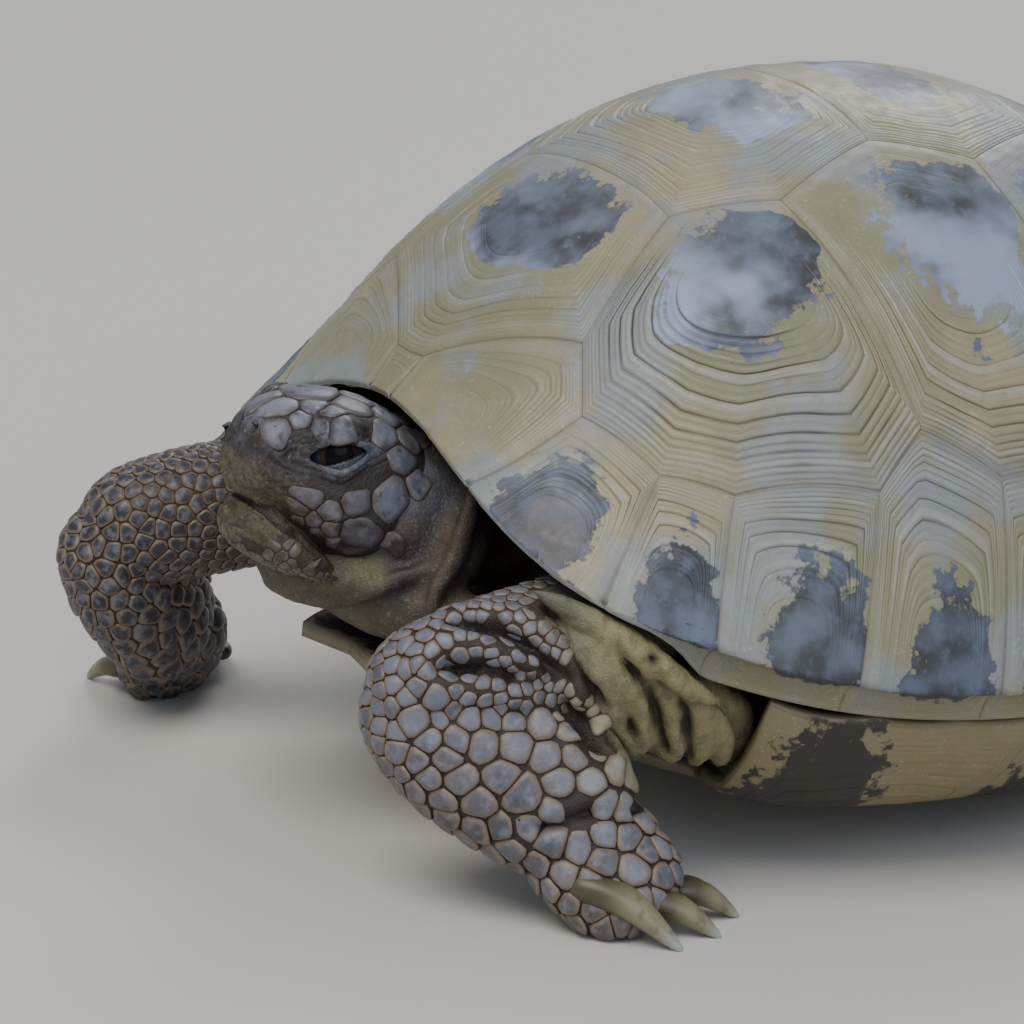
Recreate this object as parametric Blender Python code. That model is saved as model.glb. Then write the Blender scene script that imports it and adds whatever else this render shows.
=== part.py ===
"""A life-size still model of a Horsfield's tortoise, standing and looking ahead.

The animal faces -Y, its left side is +X and it stands on the floor at Z = 0.
The shell is one domed surface. It is parted into its horny plates by thin gaps.
Every size is in metres.
"""
import math

import bmesh
import bpy
from mathutils import Matrix, Vector

# --- The whole shell ---------------------------------------------------------
HALF_LENGTH = 0.082
HALF_WIDTH = 0.0712
TOP_HEIGHT = 0.104
FRONT_RIM_HEIGHT = 0.0523
SIDE_RIM_HEIGHT = 0.0221
REAR_RIM_HEIGHT = 0.031
PLAN_POWER = 2.3
PROFILE_POWER = 2.1
SIDE_FULLNESS = 1.77
FRONT_FULLNESS = 1.08
REAR_FULLNESS = 1.6
FRONT_NOTCH = 0.07
FRONT_FLARE = 0.0088
FLARE_ANGLE = 33.0
FLARE_WIDTH = 16.0
HIND_ARCH = 0.007
HIND_ARCH_ANGLE = 140.0
HIND_ARCH_WIDTH = 20.0
# The rim stands higher along the bridge, where the dome falls more steeply.
SIDE_BOW = 0.008
SIDE_BOW_FULLNESS = 0.25
SIDE_BOW_WIDTH = 35.0
SHELL_LIFT = math.radians(3.25)
LIFT_PIVOT = 0.05
PLATE_THICKNESS = 0.003
GAP = 0.0003
# Plan centre of the whole animal's box, counted from the shell's centre.
BOX_CENTRE = Vector((-0.0035, -0.0098, 0.0))

# --- The belly plates and the bridge that joins them to the dome -------------
BELLY_HEIGHT = 0.0085
BELLY_FRONT_RISE = 0.0125
BELLY_REAR_RISE = 0.004
BRIDGE_FRONT = 43.0
BRIDGE_FRONT_BLEND = 9.0
BRIDGE_REAR = 128.0
BRIDGE_REAR_BLEND = 14.0
BRIDGE_INSET = 0.0215
BRIDGE_POWER = 2.4
# The marginal plates turn in under their edge, then down to the bridge.
UNDERCUT = 0.0042
UNDERCUT_DROP = 0.0040
LIP_INSET = 0.0002
LIP_DROP = 0.0009
# How far along its end wall the inner side of a free rim is divided.
LIP_WALL = 0.4

# --- Where the marginal plates begin: angle from the nose, share of the outline
RING = (
    (0.0, 0.878), (3.3, 0.876), (26.7, 0.787), (31.2, 0.869), (42.2, 0.903),
    (50.6, 0.906), (66.3, 0.887), (71.3, 0.826), (81.3, 0.873), (91.0, 0.865),
    (99.0, 0.83), (106.0, 0.865), (119.0, 0.86), (127.0, 0.82), (134.0, 0.855),
    (147.0, 0.85), (153.0, 0.80), (166.0, 0.86), (180.0, 0.86),
)
# Angle of each radial seam at the inner ring and at the outer edge.
SEAM_TURN = (
    (0.0, 0.0), (3.3, 2.4), (31.2, 20.7), (42.2, 38.7), (50.6, 50.7),
    (66.3, 65.2), (81.3, 80.3), (91.0, 90.5), (180.0, 180.0),
)
MARGINAL_SEAMS = (31.2, 42.2, 50.6, 66.3, 81.3, 91.0, 106.0, 119.0, 134.0, 147.0)
NUCHAL_ANGLE = 3.3
SUPRACAUDAL_ANGLE = 166.0
RING_STEP = 8.0
SEAM_GROOVE = 0.0004

# --- Seam corners of the dome, as shares of half width and half length -------
SPINE_CORNERS = ((0.276, -0.52), (0.31, -0.135), (0.29, 0.23), (0.22, 0.55))
SPINE_POINTS = ((0.385, -0.355), (0.39, 0.045), (0.34, 0.38))
RING_JOINTS = (26.7, 71.3, 99.0, 127.0, 153.0)
DOME_EDGE = 0.018
DOME_RINGS = 3

# --- Head, in its own frame: nostrils at the origin, nose towards -Y ---------
HEAD_PLACE = Vector((0.0, -0.0988, 0.0630))
HEAD_PITCH = math.radians(22)
HEAD_START = 0.0012
HEAD_LENGTH = 0.0325
EYE_RADIUS = 0.0046
EYE_PLACE = Vector((0.0078, 0.0122, 0.0008))

HEAD_HALF_WIDTH = ((0.0, 0.0066), (0.003, 0.0082), (0.008, 0.0106), (0.012, 0.0122),
                   (0.018, 0.0134), (0.024, 0.0134), (0.029, 0.0124), (0.0325, 0.0105))
HEAD_TOP = ((0.0, 0.0034), (0.003, 0.0052), (0.008, 0.0072), (0.013, 0.0086),
            (0.018, 0.0088), (0.024, 0.0076), (0.0325, 0.0040))
HEAD_BOTTOM = ((0.0, -0.0098), (0.004, -0.0102), (0.010, -0.0122), (0.015, -0.0148),
               (0.019, -0.0160), (0.0325, -0.0130))
JAW_START = 0.0040
JAW_LENGTH = 0.0222
# How far the jaw reaches up into the skull before it is trimmed to meet it.
JAW_BITE = 0.001
JAW_HALF_WIDTH = ((0.0, 0.0056), (0.005, 0.0088), (0.011, 0.0112), (0.017, 0.0112),
                  (0.0222, 0.0090))
JAW_BOTTOM = ((0.0, -0.0166), (0.004, -0.0180), (0.009, -0.0188), (0.015, -0.0188),
              (0.0222, -0.0176))

# --- The body inside the shell ----------------------------------------------
ARMPIT_ANGLE = 50.0
ARMPIT_WIDTH = 16.0
ARMPIT_SHARE = 0.05
TRUNK_SIDE_REACH = 0.87
TRUNK_FRONT_REACH = 0.72
TRUNK_REAR_REACH = 0.80
TRUNK_TOP_SHARE = 0.55
TRUNK_FLOOR_SHARE = 0.72
TRUNK_TOP_ROOM = 0.0022
TRUNK_WALL_ROOM = 0.0078
TRUNK_FLOOR_ROOM = 0.0060
TRUNK_DRAW_IN = 0.035
TRUNK_WALL_SCALE = (0.90, 0.94)
TRUNK_FLOOR_SCALE = (0.80, 0.90)

# --- Facets ------------------------------------------------------------------
LIMB_FACETS = (12, 8)
TRUNK_FACETS = (20, 11)
HEAD_FACETS = (20, 12)
JAW_FACETS = (14, 8)
NECK_FACETS = (14, 7)
EYE_FACETS = (8, 6)

# --- Claws -------------------------------------------------------------------
CLAW_SEGMENTS = 6
CLAW_RINGS = 5


def material(name, colour, roughness):
    """Make a plain Principled material from a linear colour."""
    made = bpy.data.materials.new(name)
    made.use_nodes = True
    shader = made.node_tree.nodes["Principled BSDF"]
    shader.inputs["Base Color"].default_value = (*colour, 1.0)
    shader.inputs["Roughness"].default_value = roughness
    shader.inputs["Metallic"].default_value = 0.0
    return made


def smooth_step(low, high, value):
    """Rise from 0 to 1 between low and high."""
    share = min(max((value - low) / (high - low), 0.0), 1.0)
    return share * share * (3.0 - 2.0 * share)


def along(table, value):
    """Read a value from a short table of (key, value) pairs, in straight lines."""
    for (k0, v0), (k1, v1) in zip(table, table[1:]):
        if value <= k1:
            return v0 + (v1 - v0) * (value - k0) / (k1 - k0)
    return table[-1][1]


def curve_through(points, share):
    """Read a smooth curve that passes through evenly keyed points."""
    last = len(points) - 1
    place = min(max(share, 0.0), 1.0) * last
    index = min(int(place), last - 1)
    t = place - index
    p0 = points[max(index - 1, 0)]
    p1 = points[index]
    p2 = points[index + 1]
    p3 = points[min(index + 2, last)]
    return (p1 * 2.0 + (p2 - p0) * t + (p0 * 2.0 - p1 * 5.0 + p2 * 4.0 - p3) * t * t
            + (p1 * 3.0 - p0 - p2 * 3.0 + p3) * t * t * t) * 0.5


def tilted(point):
    """Carry a point of the level shell to the lifted shell."""
    turn = Matrix.Rotation(-SHELL_LIFT, 3, "X")
    pivot = Vector((0.0, 0.0, LIFT_PIVOT))
    return turn @ (point - pivot) + pivot


# --- The shell's surface -----------------------------------------------------
def share_by_side(angle, side, front, rear):
    """Blend three values round the shell: side, front and rear."""
    facing = math.cos(angle)
    if facing > 0.0:
        return side + (front - side) * facing * facing
    return side + (rear - side) * facing * facing


def side_bow(angle):
    """1 at the middle of each side, falling off towards front and rear."""
    return math.exp(-((math.degrees(abs(angle)) - 90.0) / SIDE_BOW_WIDTH) ** 2)


def rim_height(angle):
    """Height of the level rim: arched over the hind legs, bowed up at the sides."""
    arch = math.exp(-((math.degrees(abs(angle)) - HIND_ARCH_ANGLE) / HIND_ARCH_WIDTH) ** 2)
    plain = share_by_side(angle, SIDE_RIM_HEIGHT, FRONT_RIM_HEIGHT, REAR_RIM_HEIGHT)
    return plain + HIND_ARCH * arch + SIDE_BOW * side_bow(angle)


def outline_reach(angle):
    """Length of the plan's radius at an angle, as a share of its half sizes."""
    sides = abs(math.sin(angle)) ** PLAN_POWER + abs(math.cos(angle)) ** PLAN_POWER
    return sides ** (-1.0 / PLAN_POWER)


def edge_reach(angle):
    """Share of the outline at which the rim ends: notched over the neck."""
    return 1.0 - FRONT_NOTCH * max(math.cos(angle), 0.0) ** 8


def dome(angle, reach):
    """Point of the level dome at a plan angle and a share of the outline."""
    rim = rim_height(angle)
    fullness = share_by_side(angle, SIDE_FULLNESS, FRONT_FULLNESS, REAR_FULLNESS)
    fullness -= SIDE_BOW_FULLNESS * side_bow(angle)
    radius = outline_reach(angle) * reach
    fall = max(1.0 - reach ** PROFILE_POWER, 0.0) ** (1.0 / fullness)
    return Vector((HALF_WIDTH * math.sin(angle) * radius,
                   -HALF_LENGTH * math.cos(angle) * radius,
                   rim + (TOP_HEIGHT - rim) * fall))


def dome_over(x, y):
    """Point of the level dome over a place of the plan."""
    across = x / HALF_WIDTH
    down = y / HALF_LENGTH
    reach = (abs(across) ** PLAN_POWER + abs(down) ** PLAN_POWER) ** (1.0 / PLAN_POWER)
    return dome(math.atan2(across, -down), min(reach, 1.0))


def belly_height(y):
    """Height of the belly's flat middle: the front lobe curves up."""
    down = y / HALF_LENGTH
    front = smooth_step(0.35, 1.0, -down) * BELLY_FRONT_RISE
    rear = smooth_step(0.5, 1.0, down) * BELLY_REAR_RISE
    return BELLY_HEIGHT + front + rear


def belly_under(x, y):
    """Point of the level belly and bridge below a place of the plan."""
    down = min(abs(y) / HALF_LENGTH, 0.86)
    edge = HALF_WIDTH * (1.0 - down ** PLAN_POWER) ** (1.0 / PLAN_POWER)
    start = edge - UNDERCUT - LIP_INSET
    inward = min(max((start - abs(x)) / (BRIDGE_INSET - UNDERCUT), 0.0), 1.0)
    sink = 1.0 - (1.0 - inward) ** BRIDGE_POWER
    low = belly_height(y)
    angle = math.atan2(edge / HALF_WIDTH, -y / HALF_LENGTH)
    high = dome(angle, 1.0).z - UNDERCUT_DROP - LIP_DROP
    return Vector((x, y, low + (high - low) * (1.0 - sink)))


def bridge_share(angle):
    """1 where the rim turns under to the bridge, 0 where its edge is free."""
    turned = math.degrees(abs(angle))
    front = smooth_step(BRIDGE_FRONT, BRIDGE_FRONT + BRIDGE_FRONT_BLEND, turned)
    rear = smooth_step(BRIDGE_REAR, BRIDGE_REAR - BRIDGE_REAR_BLEND, turned)
    return front * rear


def ring_place(angle):
    """Plan place of the marginal plates' inner edge at an angle in radians."""
    turned = math.degrees(abs(angle))
    for (k0, v0), (k1, v1) in zip(RING, RING[1:]):
        if turned <= k1 + 1e-9:
            break
    start = dome(math.radians(k0), v0).xy
    end = dome(math.radians(k1), v1).xy
    share = (turned - k0) / (k1 - k0)
    place = start.lerp(end, share)
    return Vector((math.copysign(place.x, angle), place.y))


def front_flare(angle, out):
    """How far the rim is turned out and down beside the neck."""
    lean = math.exp(-((math.degrees(abs(angle)) - FLARE_ANGLE) / FLARE_WIDTH) ** 2)
    amount = FRONT_FLARE * lean * out ** 1.5
    return Vector((math.sin(angle), -math.cos(angle) * 0.4, -0.25)) * amount


def marginal(angle, share):
    """Point of a marginal plate: share 0 at the ring, 1 at the edge, 2 turned under."""
    angle = math.atan2(math.sin(angle), math.cos(angle))
    inner = ring_place(angle)
    across = inner.x / HALF_WIDTH
    down = inner.y / HALF_LENGTH
    reach = (abs(across) ** PLAN_POWER + abs(down) ** PLAN_POWER) ** (1.0 / PLAN_POWER)
    inner_angle = math.atan2(across, -down)
    outer_angle = math.copysign(
        math.radians(along(SEAM_TURN, math.degrees(abs(angle)))), angle)
    curl = PROFILE_POWER / 2.0
    start = math.asin(min(reach ** curl, 1.0))
    end = math.asin(edge_reach(outer_angle) ** curl)
    out = min(share, 1.0)
    turned = inner_angle + (outer_angle - inner_angle) * out
    point = dome(turned, math.sin(start + (end - start) * out) ** (1.0 / curl))
    point += front_flare(turned, out)
    if share <= 1.0:
        return point
    below = share - 1.0
    bridge = bridge_share(outer_angle)
    turn = below * math.pi / 2.0
    inset = UNDERCUT * bridge * math.sin(turn) + LIP_INSET * below * below
    drop = UNDERCUT_DROP * bridge * (1.0 - math.cos(turn)) + LIP_DROP * below
    inward = Vector((-point.x, -point.y * (1.0 - bridge), 0.0)).normalized()
    return point + inward * inset - Vector((0.0, 0.0, drop))


# --- Builders shared by many sub-parts --------------------------------------
def finish(bm, name, slot):
    """Turn a bmesh into a named, smooth-shaded object, set over the origin."""
    bmesh.ops.translate(bm, verts=bm.verts[:], vec=-BOX_CENTRE)
    bmesh.ops.recalc_face_normals(bm, faces=bm.faces[:])
    bmesh.ops.triangulate(bm, faces=bm.faces[:])
    mesh = bpy.data.meshes.new(name)
    bm.to_mesh(mesh)
    bm.free()
    mesh.shade_smooth()
    mesh.set_sharp_from_angle(angle=math.radians(50))
    made = bpy.data.objects.new(name, mesh)
    bpy.context.scene.collection.objects.link(made)
    made.data.materials.append(slot)
    return made


def ball(segments, rings, place):
    """Closed solid: a sphere whose points go where place(share, angle) says."""
    bm = bmesh.new()
    bmesh.ops.create_uvsphere(bm, u_segments=segments, v_segments=rings, radius=1.0)
    for vert in bm.verts:
        share = math.acos(max(-1.0, min(1.0, vert.co.z))) / math.pi
        vert.co = place(share, math.atan2(vert.co.y, vert.co.x))
    bmesh.ops.recalc_face_normals(bm, faces=bm.faces[:])
    return bm


def disc(rings, segments):
    """Unit disc of rings round one centre point, spun from a spoke."""
    bm = bmesh.new()
    spoke = [bm.verts.new((index / rings, 0.0, 0.0)) for index in range(rings + 1)]
    edges = [bm.edges.new(pair) for pair in zip(spoke, spoke[1:])]
    bmesh.ops.spin(bm, geom=spoke + edges, axis=(0.0, 0.0, 1.0), cent=(0.0, 0.0, 0.0),
                   steps=segments, angle=math.tau, use_merge=True)
    bmesh.ops.remove_doubles(bm, verts=bm.verts[:], dist=1e-6)
    return bm


def thicken(bm, surface, inward_of, places):
    """Give a sheet its thickness, by the inward step that each place has."""
    source = bm.verts.layers.int.new("source")
    for index, vert in enumerate(bm.verts):
        vert[source] = index
        vert.co = surface(*places[index])
    inward = [inward_of(*place) for place in places]
    grown = bmesh.ops.extrude_face_region(bm, geom=bm.faces[:], use_keep_orig=True)
    for item in grown["geom"]:
        if isinstance(item, bmesh.types.BMVert):
            item.co += inward[item[source]]
    for vert in bm.verts:
        vert.co = tilted(vert.co)
    bmesh.ops.recalc_face_normals(bm, faces=bm.faces[:])


def surface_normal(surface, u, v, outward):
    """Unit normal of a two-way surface, turned to the side of outward."""
    step = 1e-5
    along_u = surface(u + step, v) - surface(u - step, v)
    along_v = surface(u, v + step) - surface(u, v - step)
    normal = along_u.cross(along_v).normalized()
    return normal if normal.dot(outward(u, v)) > 0.0 else -normal


def subdivided(corners, step):
    """Points along a closed outline that keep every corner."""
    points = []
    for start, end in zip(corners, corners[1:] + corners[:1]):
        count = max(1, round((end - start).length / step))
        points += [start.lerp(end, index / count) for index in range(count)]
    return points


def inset(points, distance):
    """Move a closed outline inwards by a small distance."""
    area = sum(a.x * b.y - b.x * a.y for a, b in zip(points, points[1:] + points[:1]))
    side = 1.0 if area > 0.0 else -1.0
    moved = []
    for index, point in enumerate(points):
        before = (point - points[index - 1]).normalized()
        after = (points[(index + 1) % len(points)] - point).normalized()
        normal = Vector((-before.y - after.y, before.x + after.x)).normalized()
        spread = max(0.4, abs(normal.dot(Vector((-after.y, after.x)))))
        moved.append(point + normal * side * distance / spread)
    return moved


def plate(name, outline, surface, outward, rings, slot):
    """One horny plate: a disc stretched to its outline on a surface."""
    points = inset(outline, GAP / 2.0)
    centre = sum(points, Vector((0.0, 0.0))) / len(points)
    count = len(points)
    bm = disc(rings, count)
    places = []
    for vert in bm.verts:
        turn = math.atan2(vert.co.y, vert.co.x) % math.tau
        edge = points[round(turn / math.tau * count) % count]
        spot = centre.lerp(edge, vert.co.xy.length)
        places.append((spot.x, spot.y))

    def facing(x, y):
        return outward

    def inward(x, y):
        return surface_normal(surface, x, y, facing) * -PLATE_THICKNESS

    thicken(bm, surface, inward, places)
    return finish(bm, name, slot)


def ring_arc(start, end):
    """Plan points of the ring between two angles, ends included, at shared stations."""
    if end > 180.0:
        return ring_arc(start, 180.0) + [360.0 - stop for stop in ring_arc(start, 180.0)[-2::-1]]
    low, high = sorted((start, end))
    stops = [low]
    keys = [key for key, value in RING]
    keys = sorted(set([-key for key in keys] + keys))
    for k0, k1 in zip(keys, keys[1:]):
        count = max(1, round((k1 - k0) / RING_STEP))
        for index in range(count):
            stop = k0 + (k1 - k0) * index / count
            if low + 1e-6 < stop < high - 1e-6:
                stops.append(stop)
    stops.append(high)
    if start > end:
        stops.reverse()
    return stops


def ring_points(start, end):
    """The ring's plan places between two angles in degrees."""
    return [ring_place(math.radians(stop)) for stop in ring_arc(start, end)]


# --- The dome's plates ------------------------------------------------------
def spot(corner, side=1.0):
    """Plan place of a seam corner given as shares of the half sizes."""
    return Vector((corner[0] * HALF_WIDTH * side, corner[1] * HALF_LENGTH))


def seam(points):
    """Points of a seam through its corners, evenly divided, last corner left out."""
    made = []
    for start, end in zip(points, points[1:]):
        count = max(1, round((end - start).length / DOME_EDGE))
        made += [start.lerp(end, index / count) for index in range(count)]
    return made


def vertebral_outlines():
    """Plan outlines of the five plates along the spine, front to rear."""
    ring = RING_JOINTS[0]
    tail = RING_JOINTS[-1]
    left = [spot(corner) for corner in SPINE_CORNERS]
    right = [spot(corner, -1.0) for corner in SPINE_CORNERS]
    point_left = [spot(corner) for corner in SPINE_POINTS]
    point_right = [spot(corner, -1.0) for corner in SPINE_POINTS]
    first = ring_points(-ring, ring)[:-1] + seam([ring_place(math.radians(ring)),
                                                  left[0], right[0],
                                                  ring_place(math.radians(-ring))])
    outlines = [first]
    for index in range(3):
        outlines.append(seam([left[index], point_left[index], left[index + 1],
                              right[index + 1], point_right[index], right[index],
                              left[index]]))
    rear = ring_points(tail, 180.0)[:-1] + ring_points(-180.0, -tail)[:-1]
    outlines.append(rear + seam([ring_place(math.radians(-tail)), right[3], left[3],
                                 ring_place(math.radians(tail))]))
    return outlines


def costal_outlines(side):
    """Plan outlines of the four side plates, front to rear."""
    corners = [spot(corner, side) for corner in SPINE_CORNERS]
    points = [spot(corner, side) for corner in SPINE_POINTS]
    outlines = []
    for index in range(4):
        start = RING_JOINTS[index] * side
        end = RING_JOINTS[index + 1] * side
        outer = ring_points(start, end)
        inner = [points[index]] if index < 3 else []
        inner.append(corners[index])
        if index > 0:
            inner.append(points[index - 1])
        outlines.append(outer[:-1] + seam([outer[-1]] + inner + [outer[0]]))
    return outlines


def build_dome(slot):
    """Five vertebral and eight costal plates."""
    up = Vector((0.0, 0.0, 1.0))
    for index, outline in enumerate(vertebral_outlines()):
        plate(f"vertebral_{index + 1}", outline, dome_over, up, DOME_RINGS, slot)
    for side, label in ((1.0, "left"), (-1.0, "right")):
        for index, outline in enumerate(costal_outlines(side)):
            plate(f"costal_{label}_{index + 1}", outline, dome_over, up, DOME_RINGS, slot)


# --- The rim ----------------------------------------------------------------
def rim_bar(name, start, end, slot):
    """A run of marginal plates from one ring angle to another, in degrees."""
    margin = math.degrees(GAP / 2.0 / HALF_WIDTH) * 1.3
    stops = ring_arc(start, end)
    stops[0] += math.copysign(margin, end - start)
    stops[-1] -= math.copysign(margin, end - start)
    rows = (0.01, 0.5, 1.0, 1.5, 2.0)
    bm = bmesh.new()
    bmesh.ops.create_grid(bm, x_segments=len(stops) - 1, y_segments=len(rows) - 1, size=1.0)
    places = []
    for vert in bm.verts:
        column = round((vert.co.x + 1.0) / 2.0 * (len(stops) - 1))
        row = round((vert.co.y + 1.0) / 2.0 * (len(rows) - 1))
        places.append((math.radians(stops[column]), rows[row]))
    grooves = [math.radians(angle) for angle in MARGINAL_SEAMS]

    def outward(angle, share):
        return Vector((math.sin(angle), -math.cos(angle), 0.3))

    def normal(angle, share):
        return surface_normal(marginal, angle, share, outward)

    def grooved(angle, share):
        near = min(abs(abs(angle) - groove) for groove in grooves)
        depth = SEAM_GROOVE if near < 1e-4 else 0.0
        return marginal(angle, share) - normal(angle, share) * depth

    def inward(angle, share):
        step = normal(angle, share) * -PLATE_THICKNESS
        if share <= 1.0:
            return step
        inner_edge = marginal(angle, 1.0) - normal(angle, 1.0) * PLATE_THICKNESS
        wall = inner_edge.lerp(marginal(angle, 2.0), LIP_WALL * (share - 1.0))
        return (wall - marginal(angle, share)).lerp(step, bridge_share(angle))

    thicken(bm, grooved, inward, places)
    return finish(bm, name, slot)


def build_rim(slot):
    """The nuchal plate, both runs of eleven marginals and the plate over the tail."""
    rim_bar("nuchal", -NUCHAL_ANGLE, NUCHAL_ANGLE, slot)
    rim_bar("rim_left", NUCHAL_ANGLE, SUPRACAUDAL_ANGLE, slot)
    rim_bar("rim_right", -SUPRACAUDAL_ANGLE, -NUCHAL_ANGLE, slot)
    rim_bar("supracaudal", SUPRACAUDAL_ANGLE, 360.0 - SUPRACAUDAL_ANGLE, slot)


# --- The belly plates -------------------------------------------------------
def bridge_edge(down):
    """Share of the half width at which the belly meets the marginals."""
    edge = (1.0 - abs(down) ** PLAN_POWER) ** (1.0 / PLAN_POWER)
    return edge - (UNDERCUT + LIP_INSET + GAP) / HALF_WIDTH


def belly_outlines():
    """Half outlines of the six belly plates, front seam, left edge, rear seam."""
    gular = [(0.0, -0.950), (0.14, -0.980), (0.28, -0.86), (0.0, -0.68)]
    humeral = [(0.0, -0.68), (0.28, -0.86), (0.46, -0.69), (0.52, -0.50), (0.0, -0.40)]
    front = [(0.52, -0.50), (0.60, -0.52), (0.70, -0.54), (bridge_edge(-0.54), -0.54),
             (bridge_edge(-0.36), -0.36)]
    middle = [(bridge_edge(-0.04), -0.04), (0.5, -0.16), (0.0, -0.22)]
    pectoral = [(0.0, -0.40)] + front + [(bridge_edge(-0.2), -0.2)] + middle
    rear = [(bridge_edge(0.32), 0.32), (0.70, 0.36), (0.58, 0.40), (0.53, 0.44), (0.0, 0.32)]
    abdominal = middle[::-1] + [(bridge_edge(0.14), 0.14)] + rear
    femoral = [(0.0, 0.32), (0.53, 0.44), (0.50, 0.62), (0.45, 0.68), (0.0, 0.60)]
    anal = [(0.0, 0.60), (0.45, 0.68), (0.34, 0.80), (0.16, 0.87), (0.0, 0.80)]
    return {"gular": gular, "humeral": humeral, "pectoral": pectoral,
            "abdominal": abdominal, "femoral": femoral, "anal": anal}


def build_belly(slot):
    """Six pairs of belly plates, each pair in one piece across the body."""
    down = Vector((0.0, 0.0, -1.0))
    for name, half in belly_outlines().items():
        left = [spot(corner) for corner in half]
        right = [spot(corner, -1.0) for corner in reversed(half) if corner[0] > 0.0]
        outline = subdivided(left + right, DOME_EDGE)
        plate(f"plastron_{name}", outline, belly_under, down, 2, slot)


# --- Cuts -------------------------------------------------------------------
def cut(bm, point, normal):
    """Cut away what lies beyond a plane and close the cut."""
    geom = bm.verts[:] + bm.edges[:] + bm.faces[:]
    result = bmesh.ops.bisect_plane(bm, geom=geom, dist=1e-7, plane_co=point,
                                    plane_no=normal, clear_outer=True)
    edges = [item for item in result["geom_cut"] if isinstance(item, bmesh.types.BMEdge)]
    bmesh.ops.edgeloop_fill(bm, edges=edges)
    return bm


def hidden_copy(made, growth):
    """A slightly grown copy of an object, used only to cut with."""
    bm = bmesh.new()
    bm.from_mesh(made.data)
    bm.normal_update()
    offsets = {vert: vert.normal * growth for vert in bm.verts}
    for vert, offset in offsets.items():
        vert.co += offset
    mesh = bpy.data.meshes.new(made.name + "_cutter")
    bm.to_mesh(mesh)
    bm.free()
    cutter = bpy.data.objects.new(made.name + "_cutter", mesh)
    bpy.context.scene.collection.objects.link(cutter)
    cutter.hide_render = True
    cutter.display_type = "WIRE"
    return cutter


def carve(made, *others):
    """Keep an object clear of others by the shared gap."""
    for other in others:
        modifier = made.modifiers.new("Boolean", "BOOLEAN")
        modifier.operation = "DIFFERENCE"
        modifier.solver = "EXACT"
        modifier.object = hidden_copy(other, GAP)


# --- The soft body inside the shell -----------------------------------------
def trunk_reach(angle):
    """How far the body fills the shell: back from the openings, out in the armpits."""
    armpit = math.exp(-((math.degrees(abs(angle)) - ARMPIT_ANGLE) / ARMPIT_WIDTH) ** 2)
    plain = share_by_side(angle, TRUNK_SIDE_REACH, TRUNK_FRONT_REACH, TRUNK_REAR_REACH)
    return plain + ARMPIT_SHARE * armpit


def trunk_point(share, angle):
    """Point of the body: a dome over, a wall round and a flat belly under."""
    turned = angle + math.pi / 2.0
    turned = math.atan2(math.sin(turned), math.cos(turned))
    reach = trunk_reach(turned)
    if share <= TRUNK_TOP_SHARE:
        top = dome(turned, reach * math.sin(share / TRUNK_TOP_SHARE * math.pi / 2.0))
        inward = Vector((-top.x, -top.y, 0.0)) * TRUNK_DRAW_IN
        return tilted(top + inward - Vector((0.0, 0.0, PLATE_THICKNESS + TRUNK_TOP_ROOM)))
    side = dome(turned, reach)
    low = belly_under(side.x, side.y)
    flat = (1.0 - share) / (1.0 - TRUNK_TOP_SHARE)
    if flat > TRUNK_FLOOR_SHARE:
        rise = (flat - TRUNK_FLOOR_SHARE) / (1.0 - TRUNK_FLOOR_SHARE)
        place = Vector((side.x * TRUNK_WALL_SCALE[0], side.y * TRUNK_WALL_SCALE[1], 0.0))
        height = low.z + PLATE_THICKNESS + TRUNK_WALL_ROOM
        top = side.z - PLATE_THICKNESS - TRUNK_TOP_ROOM
        place.z = height + (top - height) * rise
        return tilted(place)
    inner = flat / TRUNK_FLOOR_SHARE
    place = belly_under(side.x * inner * TRUNK_FLOOR_SCALE[0],
                        side.y * inner * TRUNK_FLOOR_SCALE[1])
    place.z += PLATE_THICKNESS + TRUNK_FLOOR_ROOM
    return tilted(place)


def build_trunk(slot):
    """The body that fills the shell and shows as skin in its openings."""
    return finish(ball(*TRUNK_FACETS, trunk_point), "trunk", slot)


# --- Limbs ------------------------------------------------------------------
def tube(spine, widths, depths, broad, bluntness=4.0):
    """Placing rule for a rounded length: oval sections set along a curve."""
    def place(share, angle):
        run = 0.5 - 0.5 * math.cos(share * math.pi)
        ahead = curve_through(spine, min(run + 0.02, 1.0))
        behind = curve_through(spine, max(run - 0.02, 0.0))
        axis = (ahead - behind).normalized()
        across = (broad - axis * broad.dot(axis)).normalized()
        over = axis.cross(across)
        cap = (1.0 - abs(2.0 * run - 1.0) ** bluntness) ** 0.5
        wide = curve_through(widths, run).x * cap * math.cos(angle)
        deep = curve_through(depths, run).x * cap * math.sin(angle)
        return curve_through(spine, run) + across * wide + over * deep

    return place


def lengths(*values):
    """Sizes as vectors, so that they can be read along a smooth curve."""
    return [Vector((value, 0.0, 0.0)) for value in values]


def flattened(bm):
    """Cut a foot or claw off level with the floor."""
    lowest = min(vert.co.z for vert in bm.verts)
    if lowest < 0.0:
        cut(bm, Vector((0.0, 0.0, 0.0)), Vector((0.0, 0.0, -1.0)))
    return bm


def claw(base, tip, width, arch):
    """A curved, pointed claw whose root is held in the foot."""
    middle = (base + tip) / 2.0 + Vector((0.0, 0.0, arch))
    sideways = (tip - base).cross(Vector((0.0, 0.0, 1.0))).normalized()
    rule = tube([base, middle, tip], lengths(width, width * 0.9, width * 0.35),
                lengths(width * 0.85, width * 0.75, width * 0.30), sideways, 6.0)
    return flattened(ball(CLAW_SEGMENTS, CLAW_RINGS, rule))


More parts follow.
